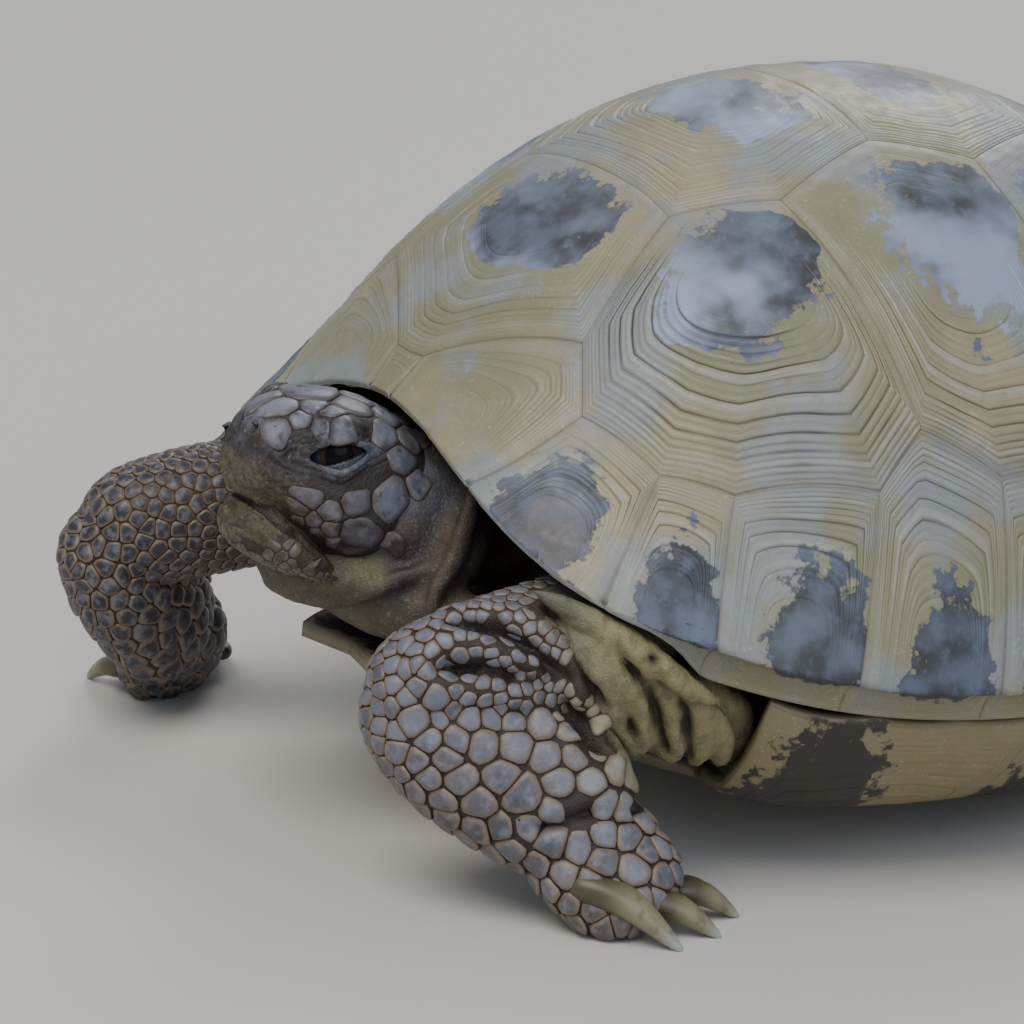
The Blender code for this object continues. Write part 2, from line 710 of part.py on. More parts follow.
class Leg:
    """Joint places and half sizes of one leg, in metres, for the animal's left."""

    def __init__(self, upper, lower, foot, sizes, broads, claws):
        self.upper = upper
        self.lower = lower
        self.foot = foot
        self.sizes = sizes
        self.broads = broads
        self.claws = claws

    def build(self, label, slots, trunk):
        """Make upper limb, lower limb, foot and claws, each clear of the others."""
        skin, horn = slots
        parts = []
        for part, spine in (("upper", self.upper), ("lower", self.lower), ("foot", self.foot)):
            wide, deep = self.sizes[part]
            points = [Vector(point) for point in spine]
            rule = tube(points, lengths(*wide), lengths(*deep), Vector(self.broads[part]))
            solid = ball(*LIMB_FACETS, rule)
            if part == "foot":
                flattened(solid)
            parts.append(finish(solid, f"{label}_{part}", skin))
        upper, lower, foot = parts
        claws = []
        for index, (base, tip, width, arch) in enumerate(self.claws):
            shape = claw(Vector(base), Vector(tip), width, arch)
            claws.append(finish(shape, f"{label}_claw_{index + 1}", horn))
        carve(upper, trunk)
        carve(lower, upper)
        carve(foot, lower, *claws)
        return parts


FORE_SIZES = {
    "upper": ((0.0095, 0.0100, 0.0102), (0.0090, 0.0092, 0.0095)),
    "lower": ((0.0086, 0.0118, 0.0121, 0.0106), (0.0084, 0.0086, 0.0078, 0.0068)),
    "foot": ((0.0092, 0.0098, 0.0085), (0.0066, 0.0066, 0.0048)),
}
FORE_LEFT = Leg(
    upper=((0.034, -0.044, 0.038), (0.0395, -0.070, 0.0372), (0.0315, -0.0940, 0.0295)),
    lower=((0.0282, -0.0917, 0.0331), (0.0372, -0.0842, 0.0263), (0.0456, -0.0744, 0.0188),
           (0.0525, -0.0677, 0.0119)),
    foot=((0.0460, -0.0720, 0.0150), (0.0525, -0.0680, 0.0085), (0.0590, -0.0630, 0.0028)),
    sizes=FORE_SIZES,
    broads={"upper": (0.0, 0.3, 1.0), "lower": (0.07, 0.59, 0.80), "foot": (0.20, 0.93, 0.15)},
    claws=(((0.0536, -0.0748, 0.0078), (0.0662, -0.0638, 0.0), 0.0031, 0.0022),
           ((0.0575, -0.0655, 0.0050), (0.0642, -0.0562, 0.0), 0.0026, 0.0014),
           ((0.0555, -0.0595, 0.0048), (0.0585, -0.0495, 0.0), 0.0024, 0.0013),
           ((0.0520, -0.0570, 0.0040), (0.0515, -0.0480, 0.0), 0.0016, 0.0010)),
)
FORE_RIGHT = Leg(
    upper=((-0.033, -0.044, 0.037), (-0.0400, -0.070, 0.0370), (-0.0520, -0.0955, 0.0310)),
    lower=((-0.0480, -0.0975, 0.0330), (-0.0520, -0.0880, 0.0240), (-0.0570, -0.0800, 0.0160),
           (-0.0610, -0.0745, 0.0100)),
    foot=((-0.0570, -0.0785, 0.0140), (-0.0630, -0.0745, 0.0070), (-0.0700, -0.0690, 0.0015)),
    sizes=FORE_SIZES,
    broads={"upper": (0.0, 0.3, 1.0), "lower": (-0.50, 0.45, 0.74), "foot": (-0.15, 0.88, 0.42)},
    claws=(((-0.0635, -0.0820, 0.0045), (-0.0745, -0.0830, 0.0), 0.0021, 0.0012),
           ((-0.0665, -0.0765, 0.0042), (-0.0785, -0.0755, 0.0), 0.0021, 0.0010),
           ((-0.0670, -0.0700, 0.0042), (-0.0790, -0.0675, 0.0), 0.0020, 0.0010),
           ((-0.0650, -0.0645, 0.0040), (-0.0760, -0.0595, 0.0), 0.0018, 0.0010)),
)


def hind_leg(side):
    """A hind leg: the knee inside the shell, the round sole flat on the floor."""
    heel = Vector((side * 0.0495, 0.0665, 0.0))
    toe = Vector((side * 0.0600, 0.0500, 0.0))
    ahead = (toe - heel).normalized()
    across = ahead.cross(Vector((0.0, 0.0, 1.0))) * side
    claws = []
    for step in (-1.5, -0.5, 0.5, 1.5):
        base = toe + across * step * 0.0042 - ahead * (0.0010 + 0.0012 * abs(step))
        base.z = 0.0040
        tip = base + ahead * 0.0105 + across * step * 0.0008
        tip.z = 0.0
        claws.append((base, tip, 0.0020, 0.0010))
    return Leg(
        upper=((side * 0.026, 0.034, 0.029), (side * 0.037, 0.041, 0.0275),
               (side * 0.0475, 0.047, 0.0235)),
        lower=((side * 0.0455, 0.0440, 0.0260), (side * 0.0485, 0.0520, 0.0170),
               (side * 0.0515, 0.0600, 0.0055)),
        foot=((side * 0.0495, 0.0665, 0.0065), (side * 0.0545, 0.0580, 0.0060),
              (side * 0.0600, 0.0500, 0.0030)),
        sizes={"upper": ((0.0100, 0.0100, 0.0090), (0.0095, 0.0100, 0.0090)),
               "lower": ((0.0090, 0.0092, 0.0090), (0.0092, 0.0092, 0.0090)),
               "foot": ((0.0085, 0.0098, 0.0085), (0.0072, 0.0078, 0.0050))},
        broads={"upper": (0.0, 0.3, 1.0), "lower": (1.0, 0.3, 0.0), "foot": (side, 0.7, 0.0)},
        claws=claws,
    )


# --- Head, neck and tail ----------------------------------------------------
def head_frame():
    """Matrix that carries the head's own frame to its place: nose lifted."""
    return Matrix.Translation(HEAD_PLACE) @ Matrix.Rotation(-HEAD_PITCH, 4, "X")


def head_part(start, length, half_width, top, bottom, bluntness):
    """Placing rule for a part of the head from its profiles along the nose line."""
    frame = head_frame()

    def place(share, angle):
        run = 0.5 - 0.5 * math.cos(share * math.pi)
        back = run * length
        cap = (1.0 - abs(2.0 * run - 1.0) ** bluntness) ** (1.0 / bluntness)
        high = along(top, back)
        low = along(bottom, back)
        across = math.cos(angle)
        over = math.sin(angle)
        round_off = (abs(across) ** 2.4 + abs(over) ** 2.4) ** (-1.0 / 2.4)
        x = along(half_width, back) * across * round_off * cap
        z = (high + low) / 2.0 + (high - low) / 2.0 * over * round_off * cap
        return frame @ Vector((x, start + back, z))

    return place


def build_head(slots, trunk):
    """Skull with its upper beak, lower jaw, eyes and neck."""
    skin, eye_slot = slots
    skull_rule = head_part(HEAD_START, HEAD_LENGTH, HEAD_HALF_WIDTH, HEAD_TOP, HEAD_BOTTOM, 6.0)
    skull = finish(ball(*HEAD_FACETS, skull_rule), "head", skin)
    shift = HEAD_START - JAW_START
    mouth = tuple((back + shift, height - GAP) for back, height in HEAD_BOTTOM)
    jaw_top = tuple((back, height + JAW_BITE) for back, height in mouth)
    jaw_rule = head_part(JAW_START, JAW_LENGTH, JAW_HALF_WIDTH, jaw_top, JAW_BOTTOM, 5.0)
    jaw = finish(ball(*JAW_FACETS, jaw_rule), "jaw", skin)
    eyes = []
    for side, label in ((1.0, "left"), (-1.0, "right")):
        centre = head_frame() @ Vector((EYE_PLACE.x * side, EYE_PLACE.y, EYE_PLACE.z))
        bm = bmesh.new()
        bmesh.ops.create_uvsphere(bm, u_segments=EYE_FACETS[0],
                                  v_segments=EYE_FACETS[1], radius=EYE_RADIUS)
        bmesh.ops.translate(bm, verts=bm.verts[:], vec=centre)
        eyes.append(finish(bm, f"eye_{label}", eye_slot))
    spine = [Vector((0.0, -0.0840, 0.0470)), Vector((0.0, -0.0690, 0.0475)),
             Vector((0.0, -0.0480, 0.0460))]
    rule = tube(spine, lengths(0.0150, 0.0158, 0.0150), lengths(0.0122, 0.0130, 0.0130),
                Vector((1.0, 0.0, 0.0)))
    neck = finish(ball(*NECK_FACETS, rule), "neck", skin)
    carve(neck, skull, jaw, trunk)
    carve(jaw, skull)
    carve(skull, *eyes)


def build_tail(slot, trunk):
    """Short tail, laid to one side under the rear plate."""
    spine = [Vector((0.0, 0.052, 0.0210)), Vector((0.002, 0.067, 0.0160)),
             Vector((0.0085, 0.0780, 0.0085))]
    rule = tube(spine, lengths(0.0062, 0.0048, 0.0018), lengths(0.0058, 0.0044, 0.0016),
                Vector((1.0, 0.0, 0.0)))
    tail = finish(ball(*LIMB_FACETS, rule), "tail", slot)
    carve(tail, trunk)


def main():
    """Clear the scene and build every part."""
    for old in list(bpy.data.objects):
        bpy.data.objects.remove(old)
    shell = material("shell_horn", (0.33, 0.30, 0.19), 0.45)
    belly = material("belly_horn", (0.36, 0.29, 0.12), 0.5)
    hide = material("scaly_skin", (0.13, 0.12, 0.13), 0.6)
    fold = material("folded_skin", (0.24, 0.20, 0.10), 0.7)
    horn = material("claw_horn", (0.47, 0.45, 0.27), 0.4)
    eye = material("eye_surface", (0.01, 0.01, 0.012), 0.08)
    build_dome(shell)
    build_rim(shell)
    build_belly(belly)
    trunk = build_trunk(fold)
    build_head((hide, eye), trunk)
    build_tail(hide, trunk)
    for label, leg in (("foreleg_left", FORE_LEFT), ("foreleg_right", FORE_RIGHT),
                       ("hindleg_left", hind_leg(1.0)), ("hindleg_right", hind_leg(-1.0))):
        leg.build(label, (hide, horn), trunk)


if __name__ == "__main__":
    main()
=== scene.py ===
"""Looks of a life-size still model of a Horsfield's tortoise.

The solids of the frame give every size and place. Over them this script sets the horny
plates with their growth rings, one skin for all the flesh, the scales that lie on it,
the eyes and the claws. The animal faces -Y, its left side is +X and +Z is up.
"""
import logging
import math
from dataclasses import dataclass
from enum import Enum
from typing import Callable, Iterable, Iterator, Sequence

import bmesh
import bpy
import numpy as np
from mathutils import Matrix, Vector
from mathutils.bvhtree import BVHTree
from mathutils.kdtree import KDTree


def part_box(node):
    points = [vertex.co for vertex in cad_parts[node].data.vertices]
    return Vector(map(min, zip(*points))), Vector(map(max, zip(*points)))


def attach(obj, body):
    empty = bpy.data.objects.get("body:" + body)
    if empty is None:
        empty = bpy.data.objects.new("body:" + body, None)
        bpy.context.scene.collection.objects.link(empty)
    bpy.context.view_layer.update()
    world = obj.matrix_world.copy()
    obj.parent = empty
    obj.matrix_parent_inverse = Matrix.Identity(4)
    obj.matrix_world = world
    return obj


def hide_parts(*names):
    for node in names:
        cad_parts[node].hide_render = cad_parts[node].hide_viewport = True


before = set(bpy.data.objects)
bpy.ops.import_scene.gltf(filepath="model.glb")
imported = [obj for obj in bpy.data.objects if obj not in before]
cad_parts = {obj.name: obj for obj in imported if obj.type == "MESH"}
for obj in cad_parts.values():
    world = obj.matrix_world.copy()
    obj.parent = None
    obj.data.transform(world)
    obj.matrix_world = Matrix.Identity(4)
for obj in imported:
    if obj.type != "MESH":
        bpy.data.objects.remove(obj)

logging.basicConfig(level=logging.INFO, format="%(message)s")
LOG = logging.getLogger("tortoise")
MM = 0.001
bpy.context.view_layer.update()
Surface = Callable[[np.ndarray, np.ndarray], np.ndarray]
# Which way each side lies along X, and its name in the nodes.
SIDES = ((1.0, "left"), (-1.0, "right"))


# --- Small helpers -----------------------------------------------------------
def linear(code: str) -> tuple[float, float, float, float]:
    """Turn an sRGB hex value such as #9C9479 into a linear colour with alpha 1."""
    parts = [int(code[i:i + 2], 16) / 255.0 for i in (1, 3, 5)]
    made = [c / 12.92 if c <= 0.04045 else ((c + 0.055) / 1.055) ** 2.4 for c in parts]
    return (made[0], made[1], made[2], 1.0)


def smooth_step(low: float, high: float, value: np.ndarray) -> np.ndarray:
    """Rise smoothly from 0 at low to 1 at high."""
    share = np.clip((np.asarray(value, float) - low) / (high - low), 0.0, 1.0)
    return share * share * (3.0 - 2.0 * share)


def hill(value: np.ndarray, middle: float, width: float) -> np.ndarray:
    """Bell curve that is 1 at its middle and falls off over its width."""
    return np.exp(-((np.asarray(value, float) - middle) / width) ** 2)


def units(vectors: np.ndarray) -> np.ndarray:
    """Scale each row vector to length 1."""
    return vectors / np.maximum(np.linalg.norm(vectors, axis=-1, keepdims=True), 1e-12)


def ripple(points: np.ndarray, wave: float, seed: int, octaves: int = 3) -> np.ndarray:
    """Smooth, repeatable roughness between about -1 and 1.

    Args:
        points: Places in metres, one row each.
        wave: Length of the longest wave in metres.
        seed: Number that picks the pattern.
        octaves: How many ever finer patterns are added.

    Returns:
        One value per place.
    """
    rng = np.random.default_rng(seed)
    total = np.zeros(len(points))
    weight = 1.0
    for _ in range(octaves):
        for _ in range(5):
            way = units(rng.normal(size=3)) * math.tau / wave
            total += weight * np.sin(points @ way + rng.uniform(0.0, math.tau)) / 2.2
        wave /= 2.1
        weight *= 0.5
    return total / 1.9


def add_node(tree: bpy.types.NodeTree, kind: str, inputs: dict | None = None,
             **settings: object) -> bpy.types.Node:
    """Add a node with its settings and its values or links.

    Args:
        tree: Node tree that takes the node.
        kind: Blender's name for the node type, without the ShaderNode prefix.
        inputs: Input name or index, with a value or an output socket to link.
        settings: Attributes of the node.

    Returns:
        The new node.
    """
    made = tree.nodes.new("ShaderNode" + kind)
    for key, value in settings.items():
        setattr(made, key, value)
    for key, value in (inputs or {}).items():
        if isinstance(value, bpy.types.NodeSocket):
            tree.links.new(value, made.inputs[key])
        else:
            made.inputs[key].default_value = value
    return made


def linked(name: str, data: bpy.types.ID) -> bpy.types.Object:
    """Put an object with this data into the scene."""
    made = bpy.data.objects.new(name, data)
    bpy.context.scene.collection.objects.link(made)
    return made


def mesh_object(name: str, mesh: bpy.types.Mesh, material: bpy.types.Material) -> bpy.types.Object:
    """Put a mesh into the scene as a smooth-shaded object with one material."""
    made = linked(name, mesh)
    mesh.materials.clear()
    mesh.materials.append(material)
    mesh.shade_smooth()
    return made


def positions(mesh: bpy.types.Mesh) -> np.ndarray:
    """Read a mesh's vertices as rows of x, y and z."""
    out = np.empty(len(mesh.vertices) * 3)
    mesh.vertices.foreach_get("co", out)
    return out.reshape(-1, 3)


def set_positions(mesh: bpy.types.Mesh, points: np.ndarray) -> None:
    """Write a mesh's vertices and keep its faces turned outwards."""
    mesh.vertices.foreach_set("co", np.ascontiguousarray(points, dtype=np.float32).ravel())
    mesh.update()
    mesh.calc_loop_triangles()
    corners = np.empty(len(mesh.loop_triangles) * 3, dtype=np.int32)
    mesh.loop_triangles.foreach_get("vertices", corners)
    a, b, c = (points[corners.reshape(-1, 3)[:, i]] for i in range(3))
    if np.einsum("ij,ij->", a, np.cross(b, c)) < 0.0:
        mesh.flip_normals()


def mesh_from(bm: bmesh.types.BMesh, name: str) -> bpy.types.Mesh:
    """Keep a worked mesh under a name and free the work."""
    mesh = bpy.data.meshes.new(name)
    bm.to_mesh(mesh)
    bm.free()
    return mesh


def spun(path: Iterable[tuple[float, float, float]], segments: int) -> bmesh.types.BMesh:
    """Spin a path from the rim's top to the middle of its underside into a closed button."""
    bm = bmesh.new()
    spoke = [bm.verts.new(place) for place in path]
    edges = [bm.edges.new(pair) for pair in zip(spoke, spoke[1:])]
    bmesh.ops.spin(bm, geom=spoke + edges, axis=(0.0, 0.0, 1.0), cent=(0.0, 0.0, 0.0),
                   steps=segments, angle=math.tau, use_merge=True)
    bmesh.ops.remove_doubles(bm, verts=bm.verts[:], dist=1e-6)
    return bm


def tree_of(points: np.ndarray) -> KDTree:
    """Sort points for quick search."""
    tree = KDTree(len(points))
    for index, point in enumerate(points):
        tree.insert(point, index)
    tree.balance()
    return tree


def round_way(share: np.ndarray, angle: np.ndarray) -> np.ndarray:
    """Directions from the middle of a ball to its surface."""
    return np.stack([np.sin(share * math.pi) * np.cos(angle),
                     np.sin(share * math.pi) * np.sin(angle), np.cos(share * math.pi)], axis=1)


def set_values(mesh: bpy.types.Mesh, name: str, values: np.ndarray) -> None:
    """Store one number, or one colour, for each vertex of a mesh."""
    if name in mesh.attributes:
        mesh.attributes.remove(mesh.attributes[name])
    values = np.asarray(values, dtype=np.float32)
    if values.ndim == 1:
        mesh.attributes.new(name, "FLOAT", "POINT").data.foreach_set("value", values)
        return
    full = np.ones((len(values), 4), dtype=np.float32)
    full[:, :values.shape[1]] = values
    mesh.attributes.new(name, "FLOAT_COLOR", "POINT").data.foreach_set("color", full.ravel())


class Finish:
    """A material in the making, with short ways to mix its look."""

    def __init__(self, name: str) -> None:
        """Start a material whose patterns lie in the object's own metres."""
        self.made = bpy.data.materials.new(name)
        self.made.use_nodes = True
        self.tree = self.made.node_tree
        self.shader = self.tree.nodes["Principled BSDF"]
        self.place = add_node(self.tree, "TexCoord").outputs["Object"]

    def read(self, name: str, kind: str = "Fac") -> bpy.types.NodeSocket:
        """Read a number, or a colour, that the mesh carries."""
        return add_node(self.tree, "Attribute", attribute_name=name).outputs[kind]

    def noise(self, scale: float, detail: float, **more: object) -> bpy.types.NodeSocket:
        """Clouds about one over the scale across, in metres."""
        inputs = {"Vector": self.place, "Scale": scale, "Detail": detail, **more}
        return add_node(self.tree, "TexNoise", inputs).outputs["Fac"]

    def math(self, operation: str, *inputs: object) -> bpy.types.NodeSocket:
        """Combine numbers."""
        return add_node(self.tree, "Math", dict(enumerate(inputs)), operation=operation).outputs[0]

    def ramp(self, value: bpy.types.NodeSocket, low: float, high: float,
             most: float = 1.0) -> bpy.types.NodeSocket:
        """Rise smoothly from 0 at low to most at high."""
        inputs = {"Value": value, "From Min": low, "From Max": high, "To Min": 0.0, "To Max": most}
        made = add_node(self.tree, "MapRange", inputs, interpolation_type="SMOOTHSTEP")
        return made.outputs["Result"]

    def stretch(self, value: bpy.types.NodeSocket, low: float, high: float, least: float,
                most: float) -> bpy.types.NodeSocket:
        """Carry a value evenly from low..high to least..most."""
        inputs = {"Value": value, "From Min": low, "From Max": high, "To Min": least,
                  "To Max": most}
        return add_node(self.tree, "MapRange", inputs).outputs["Result"]

    def mix(self, first: object, second: object, share: object) -> bpy.types.NodeSocket:
        """Mix two colours, each a socket or an sRGB hex value, by a share."""
        first, second = (linear(colour) if isinstance(colour, str) else colour
                         for colour in (first, second))
        return add_node(self.tree, "Mix", {0: share, 6: first, 7: second},
                        data_type="RGBA").outputs[2]

    def done(self, base: bpy.types.NodeSocket, roughness: object,
             height: bpy.types.NodeSocket | None = None, strength: float = 0.0,
             distance: float = 0.0) -> bpy.types.Material:
        """Give the shader its colour, its roughness and its fine relief."""
        self.tree.links.new(base, self.shader.inputs["Base Color"])
        if isinstance(roughness, bpy.types.NodeSocket):
            self.tree.links.new(roughness, self.shader.inputs["Roughness"])
        else:
            self.shader.inputs["Roughness"].default_value = roughness
        if height is not None:
            bump = add_node(self.tree, "Bump", {"Height": height, "Strength": strength,
                                                "Distance": distance})
            self.tree.links.new(bump.outputs["Normal"], self.shader.inputs["Normal"])
        return self.made


# --- The shell's surface -----------------------------------------------------
@dataclass(frozen=True)
class ShellForm:
    """The shell's surface, in metres: the same one that the solids follow."""

    half_length: float = 0.082
    half_width: float = 0.0712
    top: float = 0.104
    front_rim: float = 0.0523
    side_rim: float = 0.0221
    rear_rim: float = 0.031
    plan_power: float = 2.3
    profile_power: float = 2.1
    side_fullness: float = 1.77
    front_fullness: float = 1.08
    rear_fullness: float = 1.6
    notch: float = 0.07
    flare: float = 0.0088
    flare_angle: float = 33.0
    flare_width: float = 16.0
    arch: float = 0.007
    arch_angle: float = 140.0
    arch_width: float = 20.0
    bow: float = 0.008
    bow_fullness: float = 0.25
    bow_width: float = 35.0
    lift: float = math.radians(3.25)
    pivot: float = 0.05
    belly: float = 0.0085
    belly_front: float = 0.0125
    belly_rear: float = 0.004
    bridge_front: float = 43.0
    bridge_rear: float = 128.0
    bridge_front_blend: float = 9.0
    bridge_blend: float = 14.0
    bridge_inset: float = 0.0215
    bridge_power: float = 2.4
    undercut: float = 0.0042
    undercut_drop: float = 0.0040
    lip_inset: float = 0.0002
    lip_drop: float = 0.0009
    ring: tuple[tuple[float, float], ...] = (
        (0.0, 0.878), (3.3, 0.876), (26.7, 0.787), (31.2, 0.869), (42.2, 0.903),
        (50.6, 0.906), (66.3, 0.887), (71.3, 0.826), (81.3, 0.873), (91.0, 0.865),
        (99.0, 0.83), (106.0, 0.865), (119.0, 0.86), (127.0, 0.82), (134.0, 0.855),
        (147.0, 0.85), (153.0, 0.80), (166.0, 0.86), (180.0, 0.86))
    seam_turn: tuple[tuple[float, float], ...] = (
        (0.0, 0.0), (3.3, 2.4), (31.2, 20.7), (42.2, 38.7), (50.6, 50.7),
        (66.3, 65.2), (81.3, 80.3), (91.0, 90.5), (180.0, 180.0))

    @property
    def centre(self) -> np.ndarray:
        """Where the shell's plan centre stands in the frame."""
        low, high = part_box("vertebral_3")
        return np.array([(low[0] + high[0]) / 2.0, SHELL_SHIFT_Y, 0.0])

    def place(self, points: np.ndarray) -> np.ndarray:
        """Carry points of the level shell to the lifted shell in the frame."""
        level = points - np.array([0.0, 0.0, self.pivot])
        cos, sin = math.cos(self.lift), math.sin(-self.lift)
        turned = np.stack([level[:, 0], cos * level[:, 1] - sin * level[:, 2],
                           sin * level[:, 1] + cos * level[:, 2] + self.pivot], axis=1)
        return turned + self.centre

    def by_side(self, angle: np.ndarray, side: float, front: float, rear: float) -> np.ndarray:
        """Blend three values round the shell: side, front and rear."""
        facing = np.cos(angle)
        return side + (np.where(facing > 0.0, front, rear) - side) * facing ** 2

    def rim_height(self, angle: np.ndarray) -> np.ndarray:
        """Height of the level rim, arched over the hind legs."""
        plain = self.by_side(angle, self.side_rim, self.front_rim, self.rear_rim)
        arch = self.arch * hill(np.degrees(np.abs(angle)), self.arch_angle, self.arch_width)
        return plain + arch + self.bow * self.side_bow(angle)

    def side_bow(self, angle: np.ndarray) -> np.ndarray:
        """1 at the middle of each side, falling off towards front and rear."""
        return hill(np.degrees(np.abs(angle)), 90.0, self.bow_width)

    def dome(self, angle: np.ndarray, reach: np.ndarray) -> np.ndarray:
        """Points of the level dome at plan angles and shares of the outline."""
        rim = self.rim_height(angle)
        full = self.by_side(angle, self.side_fullness, self.front_fullness, self.rear_fullness)
        full = full - self.bow_fullness * self.side_bow(angle)
        power = self.plan_power
        far = (np.abs(np.sin(angle)) ** power + np.abs(np.cos(angle)) ** power) ** (-1.0 / power)
        fall = np.maximum(1.0 - reach ** self.profile_power, 0.0) ** (1.0 / full)
        return np.stack([self.half_width * np.sin(angle) * far * reach,
                         -self.half_length * np.cos(angle) * far * reach,
                         rim + (self.top - rim) * fall], axis=1)

    def reach_of(self, x: np.ndarray, y: np.ndarray) -> tuple[np.ndarray, np.ndarray]:
        """Plan angle and share of the outline of a place in the plan."""
        across, down = x / self.half_width, y / self.half_length
        power = self.plan_power
        reach = (np.abs(across) ** power + np.abs(down) ** power) ** (1.0 / power)
        return np.arctan2(across, -down), reach

    def over(self, x: np.ndarray, y: np.ndarray) -> np.ndarray:
        """Points of the level dome over places of the plan."""
        angle, reach = self.reach_of(x, y)
        return self.dome(angle, np.minimum(reach, 1.0))

    def belly_height(self, y: np.ndarray) -> np.ndarray:
        """Height of the belly's flat middle: the front lobe curves up."""
        down = y / self.half_length
        return (self.belly + smooth_step(0.35, 1.0, -down) * self.belly_front
                + smooth_step(0.5, 1.0, down) * self.belly_rear)

    def under(self, x: np.ndarray, y: np.ndarray) -> np.ndarray:
        """Points of the level belly and bridge below places of the plan."""
        down = np.minimum(np.abs(y) / self.half_length, 0.86)
        edge = self.half_width * (1.0 - down ** self.plan_power) ** (1.0 / self.plan_power)
        start = edge - self.undercut - self.lip_inset
        inward = np.clip((start - np.abs(x)) / (self.bridge_inset - self.undercut), 0.0, 1.0)
        sink = 1.0 - (1.0 - inward) ** self.bridge_power
        low = self.belly_height(y)
        angle = np.arctan2(edge / self.half_width, -y / self.half_length)
        high = self.dome(angle, np.ones_like(angle))[:, 2] - self.undercut_drop - self.lip_drop
        return np.stack([x, y, low + (high - low) * (1.0 - sink)], axis=1)

    def bridge(self, angle: np.ndarray) -> np.ndarray:
        """1 where the rim turns under to the bridge, 0 where its edge is free."""
        turned = np.degrees(np.abs(angle))
        front = smooth_step(self.bridge_front, self.bridge_front + self.bridge_front_blend,
                            turned)
        rear = 1.0 - smooth_step(self.bridge_rear - self.bridge_blend, self.bridge_rear, turned)
        return front * rear

    def ring_place(self, angle: np.ndarray) -> np.ndarray:
        """Plan places of the marginal plates' inner edge at angles in radians."""
        keys = np.array([key for key, _ in self.ring])
        spots = self.dome(np.radians(keys), np.array([share for _, share in self.ring]))
        turned = np.degrees(np.abs(angle))
        x = np.copysign(np.interp(turned, keys, spots[:, 0]), angle)
        return np.stack([x, np.interp(turned, keys, spots[:, 1])], axis=1)

    def marginal(self, angle: np.ndarray, share: np.ndarray) -> np.ndarray:
        """Points of the marginal plates.

        Args:
            angle: Places along the inner ring, in radians from the nose.
            share: 0 at the ring, 1 at the rim's edge, 2 where the plate ends below.

        Returns:
            Level points, one row each.
        """
        angle = np.arctan2(np.sin(angle), np.cos(angle))
        inner = self.ring_place(angle)
        inner_angle, reach = self.reach_of(inner[:, 0], inner[:, 1])
        inner_angle = np.copysign(np.abs(inner_angle), angle)
        keys = [key for key, _ in self.seam_turn]
        turns = [turn for _, turn in self.seam_turn]
        outer = np.copysign(np.radians(np.interp(np.degrees(np.abs(angle)), keys, turns)), angle)
        curl = self.profile_power / 2.0
        edge = 1.0 - self.notch * np.maximum(np.cos(outer), 0.0) ** 8
        start = np.arcsin(np.minimum(reach ** curl, 1.0))
        end = np.arcsin(edge ** curl)
        out = np.minimum(share, 1.0)
        turned = inner_angle + (outer - inner_angle) * out
        point = self.dome(turned, np.sin(start + (end - start) * out) ** (1.0 / curl))
        lean = hill(np.degrees(np.abs(turned)), self.flare_angle, self.flare_width)
        amount = (self.flare * lean * np.maximum(out, 0.0) ** 1.5)[:, None]
        point += np.stack([np.sin(turned), -np.cos(turned) * 0.4, np.full_like(turned, -0.25)],
                          axis=1) * amount
        below = np.maximum(share - 1.0, 0.0)
        bridge = self.bridge(outer)
        turn = below * math.pi / 2.0
        inset = self.undercut * bridge * np.sin(turn) + self.lip_inset * below ** 2
        drop = self.undercut_drop * bridge * (1.0 - np.cos(turn)) + self.lip_drop * below
        inward = np.stack([-point[:, 0], -point[:, 1] * (1.0 - bridge),
                           np.zeros_like(bridge)], axis=1)
        point += units(inward) * inset[:, None]
        point[:, 2] -= drop
        return point

    def normals(self, surface: Surface, u: np.ndarray, v: np.ndarray,
                steps: tuple[float, float]) -> np.ndarray:
        """Outward unit normals of a two-way surface, by small steps along it."""
        along_u = surface(u + steps[0], v) - surface(u - steps[0], v)
        along_v = surface(u, v + steps[1]) - surface(u, v - steps[1])
        made = units(np.cross(along_u, along_v))
        away = surface(u, v) - np.array([0.0, 0.0, SHELL_MIDDLE])
        return made if np.einsum("ij,ij->", made, away) > 0.0 else -made


SHELL_SHIFT_Y = 0.0098
SHELL_MIDDLE = 0.045
SHELL = ShellForm()


# --- Horny plates with their growth rings -----------------------------------
class Horn(Enum):
    """Which part of the shell a plate belongs to."""

    DOME = "dome"
    RIM = "rim"
    BELLY = "belly"


